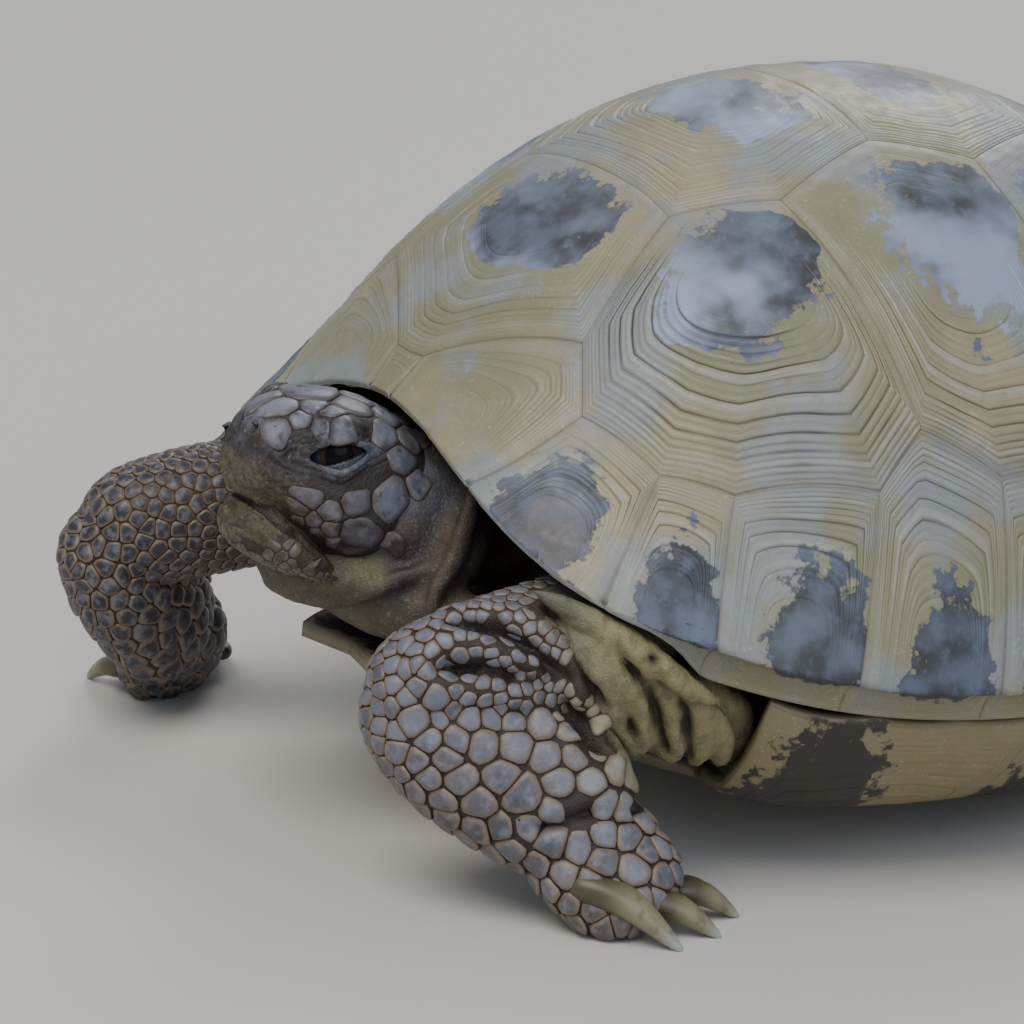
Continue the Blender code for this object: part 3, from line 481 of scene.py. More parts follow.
@dataclass(frozen=True)
class GrowthRecord:
    """The years written in every plate, from its first, smooth field to its edge.

    Each year is a share of the way to the edge, with how deep its groove is.
    """

    years: tuple[tuple[float, float], ...] = (
        (0.44, 1.0), (0.472, 0.35), (0.51, 0.5), (0.553, 0.45),
        (0.589, 0.8), (0.634, 0.4), (0.666, 0.3), (0.702, 0.85),
        (0.739, 0.3), (0.775, 1.0), (0.807, 0.35), (0.839, 0.95),
        (0.872, 0.6), (0.898, 0.7), (0.92, 0.5), (0.943, 0.65),
        (0.965, 0.5), (0.985, 0.4))
    half_groove: float = 0.0064

    def rings(self, field_rings: int, fine: bool) -> np.ndarray:
        """Shares at which a plate has a ring of vertices, grooves sampled finely."""
        first = self.years[0][0] - 2.0 * self.half_groove
        made = list(np.linspace(0.0, first, field_rings))
        offsets = (-1.0, -0.45, 0.0, 0.45, 1.0) if fine else (-1.0, 0.0, 1.0)
        for (year, _), after in zip(self.years, [y for y, _ in self.years[1:]] + [1.02]):
            made += [year + offset * self.half_groove for offset in offsets]
            made.append((year + after) / 2.0)
        made = sorted(set(round(share, 5) for share in made if share < 0.995))
        kept = [made[0]]
        for share in made[1:]:
            if share - kept[-1] > 0.0019:
                kept.append(share)
        return np.array(kept + [1.0])

    def groove(self, share: np.ndarray) -> np.ndarray:
        """How deep the nearest grooves are at each share, from 0 to 1."""
        depth = np.zeros_like(share)
        for year, strength in self.years:
            depth = np.maximum(depth, strength * hill(share, year, self.half_groove * 0.62))
        return depth

    def band(self, share: np.ndarray) -> np.ndarray:
        """Tone of the band between two grooves, repeatable, from -1 to 1."""
        tones = np.random.default_rng(11).uniform(-1.0, 1.0, len(self.years) + 1)
        tones[0] = 0.0
        return tones[np.searchsorted([year for year, _ in self.years], share)]


@dataclass(frozen=True)
class Plate:
    """One horny plate: its outline and where its growth began.

    The outline and the areola are in the surface's own two coordinates.
    The blotch is (u, v, half size along u, half size along v, turn in degrees).
    """

    name: str
    horn: Horn
    outline: tuple[tuple[float, float], ...]
    areola: tuple[float, float]
    blotch: tuple[float, float, float, float, float] | None = None


class PlateMaker:
    """Builds plates of one kind from one spun disc."""

    thickness = 0.0024
    seam_width = 0.0006
    seam_depth = 0.00010
    groove_depth = 0.00050
    settle = 0.00014
    band_height = 0.00014
    ridge_height = 0.00007
    wear_height = 0.00010
    overlap = 1.003
    blotch_power = 2.2
    half_sizes = np.array([SHELL.half_width, SHELL.half_length])
    crowded_reach = 0.024

    def __init__(self, horn: Horn, segments: int, field_rings: int, fine: bool) -> None:
        """Spin the disc that every plate of this kind is shaped from."""
        self.horn = horn
        self.segments = segments
        self.record = GrowthRecord()
        self.template = self._spin(self.record.rings(field_rings, fine))
        disc = positions(self.template)
        self.share = np.round(np.hypot(disc[:, 0], disc[:, 1]), 5)
        turn = np.arctan2(disc[:, 1], disc[:, 0]) / math.tau * segments
        self.index = np.round(turn).astype(int) % segments
        self.inner = disc[:, 2] < -0.5

    def _spin(self, shares: np.ndarray) -> bpy.types.Mesh:
        """Make a closed button: fine rings on top, a wall and a coarse underside."""
        path = [(share, 0.0, 0.0) for share in shares]
        path += [(share, 0.0, -1.0) for share in (1.0, 0.86, 0.6, 0.3, 0.0)]
        return mesh_from(spun(path, self.segments), "disc_" + self.horn.value)

    def _surface(self) -> tuple[Surface, tuple[float, float], tuple[float, float]]:
        """The surface, its step sizes for normals and its rough metres per unit."""
        if self.horn is Horn.DOME:
            return SHELL.over, (1e-4, 1e-4), (1.0, 1.0)
        if self.horn is Horn.BELLY:
            return SHELL.under, (1e-4, 1e-4), (1.0, 1.0)
        return SHELL.marginal, (0.002, 0.02), (0.075, 0.018)

    def _walk(self, corners: np.ndarray, scale: tuple[float, float]) -> np.ndarray:
        """Spread the segments along a closed outline so that each corner keeps one."""
        after = np.roll(corners, -1, axis=0)
        lengths = np.linalg.norm((after - corners) * np.array(scale), axis=1)
        wanted = lengths / lengths.sum() * self.segments
        counts = np.maximum(np.floor(wanted).astype(int), 1)
        while counts.sum() > self.segments:
            counts[np.argmax(counts - wanted)] -= 1
        while counts.sum() < self.segments:
            counts[np.argmax(wanted - counts)] += 1
        return np.concatenate([start + (end - start) * np.arange(count)[:, None] / count
                               for start, end, count in zip(corners, after, counts)])

    def _places(self, plate: Plate) -> tuple[np.ndarray, np.ndarray]:
        """Where each vertex lies on the surface, and its way to the areola in metres."""
        _, _, scale = self._surface()
        outline = self._walk(np.array(plate.outline), scale)
        rounded = outline.copy()
        for _ in range(self.segments // 3):
            rounded = (np.roll(rounded, 1, axis=0) + rounded * 2.0
                       + np.roll(rounded, -1, axis=0)) / 4.0
        keep = smooth_step(0.40, 1.0, self.share)[:, None]
        target = rounded[self.index] * (1.0 - keep) + outline[self.index] * keep
        areola = np.array(plate.areola)
        wobble = 1.0 + 0.012 * np.sin(self.index / self.segments * math.tau * 5.0
                                      + self.share * 9.0) * (1.0 - self.share) * self.share * 4.0
        spots = areola + (target - areola) * (self.share * wobble * self.overlap)[:, None]
        spread = np.linalg.norm((target - areola) * np.array(scale), axis=1)
        return spots, spread

    def _inward(self, spots: np.ndarray, normals: np.ndarray) -> np.ndarray:
        """Step from the outer to the inner side: a free rim ends in a plain wall."""
        step = normals * -self.thickness
        if self.horn is not Horn.RIM:
            return step
        angle, share = spots[:, 0], spots[:, 1]
        ones = np.ones_like(share)
        edge = SHELL.marginal(angle, ones)
        inner_edge = edge + step
        wall = inner_edge + (SHELL.marginal(angle, ones * 2.0) - inner_edge) * (
            0.4 * np.maximum(share - 1.0, 0.0))[:, None]
        bridge = SHELL.bridge(np.arctan2(np.sin(angle), np.cos(angle)))[:, None]
        free = wall - SHELL.marginal(angle, share)
        return np.where((share > 1.0)[:, None], free + (step - free) * bridge, step)

    def _kept(self, plate: Plate, spots: np.ndarray) -> np.ndarray:
        """How much of its growth relief each place has kept: most below, least on top."""
        way = spots - np.array(plate.areola)
        if self.horn is Horn.RIM:
            front = smooth_step(42.0, 31.0, np.degrees(np.abs(spots[:, 0])))
            return (0.22 + 0.78 * smooth_step(0.75, 0.30, spots[:, 1])) * (1.0 - 0.60 * front)
        if self.horn is Horn.BELLY:
            return np.full(len(spots), 0.30)
        out = spots / self.half_sizes
        facing = np.einsum("ij,ij->i", units(way), units(out))
        reach = np.linalg.norm(out, axis=1)
        down = smooth_step(-0.10, 0.70, facing) * smooth_step(0.15, 0.50, reach)
        early = smooth_step(0.40, 0.74, self.share)
        down = down * (early + (1.0 - early) * smooth_step(0.45, 0.95, facing))
        return 0.03 + 0.97 * down * (0.45 if plate.name.startswith("vertebral") else 1.0)

    def _outward(self, spots: np.ndarray) -> np.ndarray:
        """Plan direction down the dome at each place."""
        return units(spots / self.half_sizes ** 2)

    def _blotch(self, plate: Plate, spots: np.ndarray) -> np.ndarray:
        """How far inside the plate's dark blotch each vertex is: 1 in its middle."""
        if plate.blotch is None:
            return np.full(len(spots), -1.0)
        u, v, half_u, half_v, turn = plate.blotch
        _, _, scale = self._surface()
        way = (spots - np.array([u, v])) * np.array(scale)
        cos, sin = math.cos(math.radians(turn)), math.sin(math.radians(turn))
        along = (way[:, 0] * cos + way[:, 1] * sin) / half_u
        across = (way[:, 1] * cos - way[:, 0] * sin) / half_v
        power = self.blotch_power
        depth = 1.0 - (np.abs(along) ** power + np.abs(across) ** power) ** (1.0 / power)
        if self.horn is Horn.DOME:
            out = self._outward(spots)
            lower = np.einsum("ij,ij->i", units(spots - np.array(plate.areola)), out)
            field = 0.51 + 0.20 * (1.0 - lower ** 2)
            field_edge = (field - self.share) * 7.0 + 2.0 * smooth_step(0.20, -0.25, lower)
            depth = np.minimum(depth, field_edge)
        return np.minimum(depth, 0.36 if plate.name.startswith("vertebral") else 0.55)

    def _bleached(self, plate: Plate, spots: np.ndarray) -> np.ndarray:
        """How strongly a painted sky reflection pales the blotch: most over its lower half on the
        dome.
        """
        if plate.blotch is None or self.horn is not Horn.DOME:
            return np.zeros(len(spots))
        out = self._outward(spots)
        lower = np.einsum("ij,ij->i", spots - np.array(plate.blotch[:2]), out)
        return 0.25 + 0.75 * smooth_step(-0.25, 0.35, lower / plate.blotch[2])

    def build(self, plate: Plate, material: bpy.types.Material) -> bpy.types.Object:
        """Shape one plate and write its growth on it.

        Args:
            plate: The plate's outline, areola and blotch.
            material: The horn's finish.

        Returns:
            The finished piece.
        """
        surface, steps, _ = self._surface()
        spots, spread = self._places(plate)
        u, v = spots[:, 0], spots[:, 1]
        normals = SHELL.normals(surface, u, v, steps)
        base = surface(u, v)
        crowding = np.clip(spread / self.crowded_reach, 0.12, 1.15)
        kept = self._kept(plate, spots) * np.clip(0.8 + 0.45 * ripple(base, 0.02, 5, 2), 0.2, 1.2)
        groove = self.record.groove(self.share) * kept
        to_edge = (1.0 - self.share) * spread
        seam = 1.0 - smooth_step(0.0, self.seam_width, to_edge)
        height = -self.settle * self.share ** 2 - self.groove_depth * groove * crowding
        height += self.band_height * self.record.band(self.share) * kept * crowding
        height += self.ridge_height * hill(to_edge, 0.0018, 0.0008) - self.seam_depth * seam
        height += self.wear_height * ripple(base, 0.006, 8, 3) * (1.0 - seam)
        outer = base + normals * height[:, None]
        inner = base + self._inward(spots, normals)
        points = np.where(self.inner[:, None], inner, outer)
        mesh = self.template.copy()
        mesh.name = plate.name
        set_positions(mesh, SHELL.place(points))
        set_values(mesh, "growth", self.share)
        set_values(mesh, "groove", groove * np.clip(crowding * 1.4, 0.3, 1.0))
        set_values(mesh, "band", self.record.band(self.share) * np.clip(kept, 0.0, 1.0))
        set_values(mesh, "worn", np.clip(1.0 - kept, 0.0, 1.0))
        set_values(mesh, "ridge", hill(to_edge, 0.0016, 0.0009))
        set_values(mesh, "seam", seam)
        hidden = self.inner & (not plate.name.startswith("gular"))
        set_values(mesh, "blotch", np.where(hidden, -1.0, self._blotch(plate, spots)))
        # Painted sky reflection on the lower half of the dome's blotches.
        set_values(mesh, "bleached", self._bleached(plate, spots))
        below = np.zeros(len(spots))
        if self.horn is Horn.RIM:
            below = 0.6 * smooth_step(1.02, 1.25, v) * SHELL.bridge(u)
        elif self.horn is Horn.BELLY:
            below += 0.35 if plate.name.startswith(("gular", "humeral")) else 1.0
        set_values(mesh, "below", np.where(hidden, 1.0, below))
        return mesh_object(plate.name, mesh, material)


@dataclass(frozen=True)
class PlatePattern:
    """Where the seams of the shell run, as shares of its half sizes or as angles."""

    corners: tuple[tuple[float, float], ...] = (
        (0.276, -0.52), (0.31, -0.135), (0.29, 0.23), (0.22, 0.55))
    points: tuple[tuple[float, float], ...] = ((0.385, -0.355), (0.39, 0.045), (0.34, 0.38))
    joints: tuple[float, ...] = (26.7, 71.3, 99.0, 127.0, 153.0)
    rim_seams: tuple[float, ...] = (3.3, 31.2, 42.2, 50.6, 66.3, 81.3, 91.0, 106.0, 119.0,
                                    134.0, 147.0, 166.0)
    rim_top: float = 0.006
    costal_areolas: tuple[tuple[float, float], ...] = (
        (0.45, -0.46), (0.585, -0.135), (0.55, 0.20), (0.45, 0.53))
    spine_areolas: tuple[tuple[float, float], ...] = (
        (0.0, -0.60), (0.0, -0.26), (0.0, 0.07), (0.0, 0.40), (0.0, 0.67))
    costal_blotches: tuple[tuple[float, ...], ...] = (
        (0.47, -0.455, 0.0098, 0.0160, 12.0), (0.53, 0.0, 0.0135, 0.0165, 0.0),
        (0.51, 0.27, 0.0110, 0.0120, 0.0), (0.47, 0.53, 0.0105, 0.0090, -20.0))
    spine_blotches: tuple[tuple[float, ...], ...] = (
        (0.06, -0.655, 0.0185, 0.0098, 0.0), (0.06, -0.27, 0.0190, 0.0075, 8.0),
        (0.0, 0.04, 0.0190, 0.0075, 0.0), (0.0, 0.39, 0.0140, 0.0080, 0.0),
        (0.0, 0.68, 0.0120, 0.0065, 0.0))
    rim_blotches: tuple[tuple[float, ...] | None, ...] = (
        None, (36.2, 0.70, 0.0050, 0.0078, 0.0), (47.4, 0.80, 0.0042, 0.0095, 0.0),
        (61.4, 0.86, 0.0078, 0.0098, 0.0), (75.4, 0.98, 0.0066, 0.0098, 0.0),
        (86.6, 0.95, 0.0040, 0.0070, 0.0), (98.0, 0.90, 0.0070, 0.0070, 0.0),
        (112.0, 0.88, 0.0065, 0.0070, 0.0), (126.0, 0.88, 0.0060, 0.0070, 0.0),
        (140.0, 0.85, 0.0050, 0.0065, 0.0), (156.0, 0.85, 0.0065, 0.0065, 0.0))

    def spot(self, share: Sequence[float], side: float = 1.0) -> tuple[float, float]:
        """Plan place of a corner given as shares of the half sizes."""
        return (share[0] * SHELL.half_width * side, share[1] * SHELL.half_length)

    def mark(self, blotch: tuple[float, ...], side: float) -> tuple[float, ...]:
        """A blotch given in shares, on the side given: its plan place, half sizes and turn."""
        u, v, half_u, half_v, turn = blotch
        return (*self.spot((u, v), side), half_u, half_v, turn * side)

    def ring_corners(self, start: float, end: float) -> list[tuple[float, float]]:
        """Corners of the inner ring between two angles in degrees, ends included."""
        keys = sorted({sign * key for key, _ in SHELL.ring for sign in (-1.0, 1.0)})
        keys += [360.0 - key for key, _ in SHELL.ring if 0.0 < key < 180.0][::-1]
        low, high = min(start, end), max(start, end)
        stops = [low] + sorted(key for key in set(keys) if low + 1e-6 < key < high - 1e-6) + [high]
        angles = np.radians(stops if start <= end else stops[::-1])
        angles = np.arctan2(np.sin(angles), np.cos(angles))
        return [tuple(place) for place in SHELL.ring_place(angles)]

    def spine(self) -> Iterable[Plate]:
        """The five plates over the spine, front to rear."""
        left = [self.spot(corner) for corner in self.corners]
        right = [self.spot(corner, -1.0) for corner in self.corners]
        out_left = [self.spot(point) for point in self.points]
        out_right = [self.spot(point, -1.0) for point in self.points]
        front = self.ring_corners(-self.joints[0], self.joints[0])
        rear = self.ring_corners(self.joints[-1], 360.0 - self.joints[-1])
        outlines = [front + [left[0], right[0]]]
        outlines += [[left[i], out_left[i], left[i + 1], right[i + 1], out_right[i], right[i]]
                     for i in range(3)]
        outlines.append(rear + [right[3], left[3]])
        for index, outline in enumerate(outlines):
            yield Plate(f"vertebral_{index + 1}", Horn.DOME, tuple(outline),
                        self.spot(self.spine_areolas[index]),
                        self.mark(self.spine_blotches[index], 1.0))

    def flanks(self) -> Iterable[Plate]:
        """The four plates of each side, front to rear."""
        for side, label in SIDES:
            corners = [self.spot(corner, side) for corner in self.corners]
            points = [self.spot(point, side) for point in self.points]
            for index in range(4):
                outline = self.ring_corners(self.joints[index] * side,
                                            self.joints[index + 1] * side)
                outline += [points[index]] if index < 3 else []
                outline.append(corners[index])
                outline += [points[index - 1]] if index > 0 else []
                yield Plate(f"costal_{label}_{index + 1}", Horn.DOME, tuple(outline),
                            self.spot(self.costal_areolas[index], side),
                            self.mark(self.costal_blotches[index], side))

    def _rim_plate(self, name: str, start: float, end: float,
                   blotch: tuple[float, ...] | None) -> Plate:
        """One marginal plate between two angles in degrees."""
        keys = [key for key, _ in SHELL.ring if start + 1e-6 < abs(key) < end - 1e-6]
        top = [start] + sorted(keys) + [end]
        outline = [(math.radians(stop), self.rim_top) for stop in top]
        outline += [(math.radians(end), 1.0), (math.radians(end), 2.0)]
        outline += [(math.radians(start), 2.0), (math.radians(start), 1.0)]
        areola = (math.radians(start + (end - start) * 0.55), 0.93)
        mark = None if blotch is None else (math.radians(blotch[0]), *blotch[1:])
        return Plate(name, Horn.RIM, tuple(outline), areola, mark)

    def rim(self) -> Iterable[Plate]:
        """The nuchal plate, eleven marginals of each side and the plate over the tail."""
        seams = self.rim_seams
        edge, top = math.radians(seams[0]), self.rim_top
        yield Plate("nuchal_horn", Horn.RIM, (
            (-edge, top), (0.0, top), (edge, top), (edge, 1.0), (edge, 2.0), (-edge, 2.0),
            (-edge, 1.0)), (0.0, 0.9))
        for side, label in SIDES:
            for index, (start, end) in enumerate(zip(seams, seams[1:])):
                plate = self._rim_plate("marginal", start, end, self.rim_blotches[index])
                yield self._mirrored(plate, side, f"marginal_{label}_{index + 1}")
        yield self._rim_plate("supracaudal_horn", seams[-1], 360.0 - seams[-1],
                              (180.0, 0.8, 0.011, 0.006, 0.0))

    def _mirrored(self, plate: Plate, side: float, name: str) -> Plate:
        """The same plate on the side given, under a new name."""
        mark = plate.blotch
        if mark is not None:
            mark = (mark[0] * side, *mark[1:])
        return Plate(name, plate.horn, tuple((u * side, v) for u, v in plate.outline),
                     (plate.areola[0] * side, plate.areola[1]), mark)

    def _bridge_edge(self, down: float) -> float:
        """Share of the half width at which the belly meets the marginals."""
        edge = (1.0 - abs(down) ** SHELL.plan_power) ** (1.0 / SHELL.plan_power)
        return edge - (SHELL.undercut + SHELL.lip_inset + 0.0003) / SHELL.half_width

    def belly(self) -> Iterable[Plate]:
        """The six pairs of belly plates, each half a plate of its own."""
        edge = self._bridge_edge
        front = [(0.52, -0.50), (0.60, -0.52), (0.70, -0.54), (edge(-0.54), -0.54),
                 (edge(-0.36), -0.36)]
        middle = [(edge(-0.04), -0.04), (0.5, -0.16), (0.0, -0.22)]
        rear = [(edge(0.32), 0.32), (0.70, 0.36), (0.58, 0.40), (0.53, 0.44), (0.0, 0.32)]
        halves = {
            "gular": [(0.0, -0.950), (0.14, -0.980), (0.28, -0.86), (0.0, -0.68)],
            "humeral": [(0.0, -0.68), (0.28, -0.86), (0.46, -0.69), (0.52, -0.50), (0.0, -0.40)],
            "pectoral": [(0.0, -0.40)] + front + [(edge(-0.2), -0.2)] + middle,
            "abdominal": middle[::-1] + [(edge(0.14), 0.14)] + rear,
            "femoral": [(0.0, 0.32), (0.53, 0.44), (0.50, 0.62), (0.45, 0.68), (0.0, 0.60)],
            "anal": [(0.0, 0.60), (0.45, 0.68), (0.34, 0.80), (0.16, 0.87), (0.0, 0.80)],
        }
        areolas = {"gular": (0.14, -0.80), "humeral": (0.36, -0.62), "pectoral": (0.62, -0.29),
                   "abdominal": (0.62, 0.20), "femoral": (0.36, 0.56), "anal": (0.22, 0.76)}
        blotches = {"gular": (0.10, -0.90, 0.0065, 0.0050, 0.0),
                    "humeral": (0.26, -0.62, 0.0110, 0.0075, 20.0),
                    "pectoral": (0.70, -0.40, 0.0140, 0.0095, 10.0),
                    "abdominal": (0.66, 0.02, 0.0160, 0.0120, 0.0),
                    "femoral": (0.26, 0.50, 0.0120, 0.0080, 10.0),
                    "anal": (0.18, 0.72, 0.0080, 0.0055, 0.0)}
        for side, label in SIDES:
            for name, half in halves.items():
                yield Plate(f"{name}_{label}", Horn.BELLY,
                            tuple(self.spot(corner, side) for corner in half),
                            self.spot(areolas[name], side), self.mark(blotches[name], side))


@dataclass(frozen=True)
class ShellHorn:
    """Keratin of the shell, grown ring by ring and polished by wear.

    It shows as dull olive and cream bands with brown lines in the grooves, and
    blue-grey blotches with ragged edges over the oldest field of each plate. On the dome a
    painted sky reflection pales the lower half of each blotch.
    """

    name: str = "keratin_grown_in_rings"
    olive: str = "#7E7C62"
    grey: str = "#7F8586"
    cream: str = "#9D9176"
    pale: str = "#A6A89F"
    scratch: str = "#C0C0B4"
    blotch_dark: str = "#262B34"
    blotch_light: str = "#5A657C"
    # Pale blue of the painted sky reflection on the dome's blotches.
    blotch_painted_sheen: str = "#99A6C0"
    blotch_below: str = "#1A1714"
    groove: str = "#3C3120"
    seam: str = "#4C3A28"
    below: str = "#7F7350"
    roughness: float = 0.40

    def build(self) -> bpy.types.Material:
        """Make the material's nodes."""
        look = Finish(self.name)
        parts = add_node(look.tree, "SeparateXYZ", {0: look.place}).outputs
        flow = add_node(look.tree, "CombineXYZ", {
            "X": look.math("MULTIPLY", look.read("growth"), 90.0),
            "Y": look.math("MULTIPLY", parts["X"], 110.0),
            "Z": look.math("MULTIPLY", parts["Y"], 110.0)}).outputs[0]
        # Fine lines that run with the rings, about 0.3 mm apart.
        streak = look.noise(1.0, 4.0, Roughness=0.6, Vector=flow)
        # Clouds of colour 16 and 29 mm across, drifts of 7 mm and mottling of 2 mm.
        cloud, cloud_two, drift = (look.noise(34.0, 3.0), look.noise(61.0, 3.0),
                                   look.noise(150.0, 4.0))
        mottle = look.noise(420.0, 5.0, Roughness=0.62)
        worn, below = look.read("worn"), look.read("below")
        kept = look.math("SUBTRACT", 1.0, worn)
        base = look.mix(self.olive, self.cream, look.ramp(cloud, 0.42, 0.68, 0.75))
        base = look.mix(base, self.grey, look.ramp(cloud_two, 0.45, 0.6))
        base = look.mix(base, self.pale, look.ramp(look.read("band"), 0.05, 0.8, 0.36))
        base = look.mix(base, self.pale, look.ramp(look.read("ridge"), 0.1, 1.0, 0.16))
        base = look.mix(base, self.below, look.math("MULTIPLY", below, 0.85))
        # Fine pale scratches in the worn fields, crossing the growth.
        wear = look.ramp(look.noise(900.0, 3.0, Distortion=2.2), 0.60, 0.74, 0.42)
        base = look.mix(base, self.scratch, look.math("MULTIPLY", wear, worn))
        lines = look.math("MULTIPLY", look.ramp(streak, 0.52, 0.78, 0.5), kept)
        base = look.mix(base, self.groove, lines)
        base = look.mix(base, self.olive, look.ramp(mottle, 0.50, 0.70, 0.45))
        # The blotch: ragged at its edge, paled in clouds by a painted sky reflection, dark brown
        # underneath.
        edge = look.math("ADD", look.read("blotch"), look.math("MULTIPLY_ADD", mottle, 1.3, -0.65))
        edge = look.math("ADD", edge, look.math("MULTIPLY_ADD", drift, 0.9, -0.45))
        # Painted sky reflection: a pale sheen in clouds over the lower half of each dome blotch.
        bleached = look.math("MULTIPLY", look.read("bleached"), look.ramp(cloud_two, 0.36, 0.56))
        dark = look.mix(self.blotch_dark, self.blotch_light, look.ramp(drift, 0.38, 0.68, 0.75))
        dark = look.mix(dark, self.blotch_light, look.ramp(mottle, 0.50, 0.72, 0.6))
        dark = look.mix(dark, self.blotch_painted_sheen, look.math("MULTIPLY", bleached, 0.8))
        dark = look.mix(dark, self.blotch_below, look.ramp(below, 0.2, 0.9, 0.92))
        base = look.mix(base, dark, look.ramp(edge, -0.02, 0.10, 0.92))
        base = look.mix(base, self.groove, look.ramp(look.read("groove"), 0.10, 0.80, 0.72))
        base = look.mix(base, self.seam, look.ramp(look.read("seam"), 0.30, 0.95, 0.36))
        rough = look.stretch(mottle, 0.3, 0.7, self.roughness - 0.08, self.roughness + 0.14)
        relief = look.math("MULTIPLY_ADD", streak, kept, mottle)
        return look.done(base, rough, relief, 0.5, 0.00012)


class Shell:
    """The whole shell: every horny plate, each a piece of its own."""

    def __init__(self, pattern: PlatePattern) -> None:
        """Keep the pattern of seams."""
        self.pattern = pattern

    def build(self) -> None:
        """Make all plates and hide the solids they stand for."""
        horn = ShellHorn().build()
        dome = PlateMaker(Horn.DOME, 116, 12, True)
        for plate in [*self.pattern.spine(), *self.pattern.flanks()]:
            self._set(dome.build(plate, horn), plate.name + "_horn", (plate.name,))
        rim = PlateMaker(Horn.RIM, 72, 6, False)
        for plate in self.pattern.rim():
            nodes = {"nuchal_horn": ("nuchal",), "supracaudal_horn": ("supracaudal",),
                     "marginal_left_1": ("rim_left",), "marginal_right_1": ("rim_right",)}
            self._set(rim.build(plate, horn), plate.name, nodes.get(plate.name, ()))
        belly = PlateMaker(Horn.BELLY, 72, 6, False)
        for plate in self.pattern.belly():
            half, side = plate.name.split("_")
            node = (f"plastron_{half}",) if side == "left" else ()
            self._set(belly.build(plate, horn), plate.name + "_horn", node)

    def _set(self, piece: bpy.types.Object, name: str, nodes: tuple[str, ...]) -> None:
        """Name a piece, set it on the body and report it."""
        piece.name = name
        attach(piece, "root")
        if nodes:
            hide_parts(*nodes)
        LOG.info("%s: %d faces", name, len(piece.data.polygons))


# --- Shapes of flesh ---------------------------------------------------------
def curve(points: Sequence, share: np.ndarray) -> np.ndarray:
    """Read a smooth curve that passes through evenly keyed points.

    Args:
        points: Rows of numbers, or single numbers.
        share: Places along the curve, from 0 to 1.

    Returns:
        One row per place, or one number per place.
    """
    keys = np.asarray(points, float)
    flat = keys.ndim == 1
    keys = keys[:, None] if flat else keys
    last = len(keys) - 1
    place = np.clip(share, 0.0, 1.0) * last
    index = np.minimum(place.astype(int), last - 1)
    t = (place - index)[:, None]
    p0, p1, p2 = keys[np.maximum(index - 1, 0)], keys[index], keys[index + 1]
    p3 = keys[np.minimum(index + 2, last)]
    out = 0.5 * (p1 * 2.0 + (p2 - p0) * t + (p0 * 2.0 - p1 * 5.0 + p2 * 4.0 - p3) * t ** 2
                 + (p1 * 3.0 - p0 - p2 * 3.0 + p3) * t ** 3)
    return out[:, 0] if flat else out


def ball(segments: int, rings: int, rule: Surface) -> bpy.types.Mesh:
    """Closed solid: a sphere whose vertices go where rule(share, angle) says."""
    bm = bmesh.new()
    bmesh.ops.create_uvsphere(bm, u_segments=segments, v_segments=rings, radius=1.0)
    mesh = mesh_from(bm, "ball")
    unit = positions(mesh)
    share = np.arccos(np.clip(unit[:, 2], -1.0, 1.0)) / math.pi
    set_positions(mesh, rule(share, np.arctan2(unit[:, 1], unit[:, 0])))
    return mesh


def joined(meshes: Iterable[bpy.types.Mesh]) -> bpy.types.Mesh:
    """Put several meshes into one."""
    bm = bmesh.new()
    for mesh in meshes:
        bm.from_mesh(mesh)
    return mesh_from(bm, "joined")


def with_modifier(mesh: bpy.types.Mesh, kind: str, weights: np.ndarray | None = None,
                  **settings: object) -> bpy.types.Mesh:
    """Run one modifier over a mesh and keep the result as a new mesh.

    Args:
        mesh: The mesh to start from.
        kind: Blender's name for the modifier type.
        weights: One number per vertex for the vertex group "part", if any.
        settings: Attributes of the modifier.

    Returns:
        The changed mesh, with no modifier left.
    """
    work = linked("work", mesh)
    if weights is not None:
        group = work.vertex_groups.new(name="part")
        for level in np.unique(np.round(weights, 1)):
            chosen = np.flatnonzero(np.round(weights, 1) == level)
            group.add(chosen.tolist(), float(level), "REPLACE")
    modifier = work.modifiers.new("change", kind)
    for key, value in settings.items():
        setattr(modifier, key, value)
    graph = bpy.context.evaluated_depsgraph_get()
    made = bpy.data.meshes.new_from_object(work.evaluated_get(graph))
    bpy.data.objects.remove(work)
    return made


def vertex_normals(mesh: bpy.types.Mesh) -> np.ndarray:
    """Read the unit normal of each vertex."""
    out = np.empty(len(mesh.vertices) * 3, dtype=np.float32)
    mesh.vertex_normals.foreach_get("vector", out)
    return out.reshape(-1, 3).astype(float)


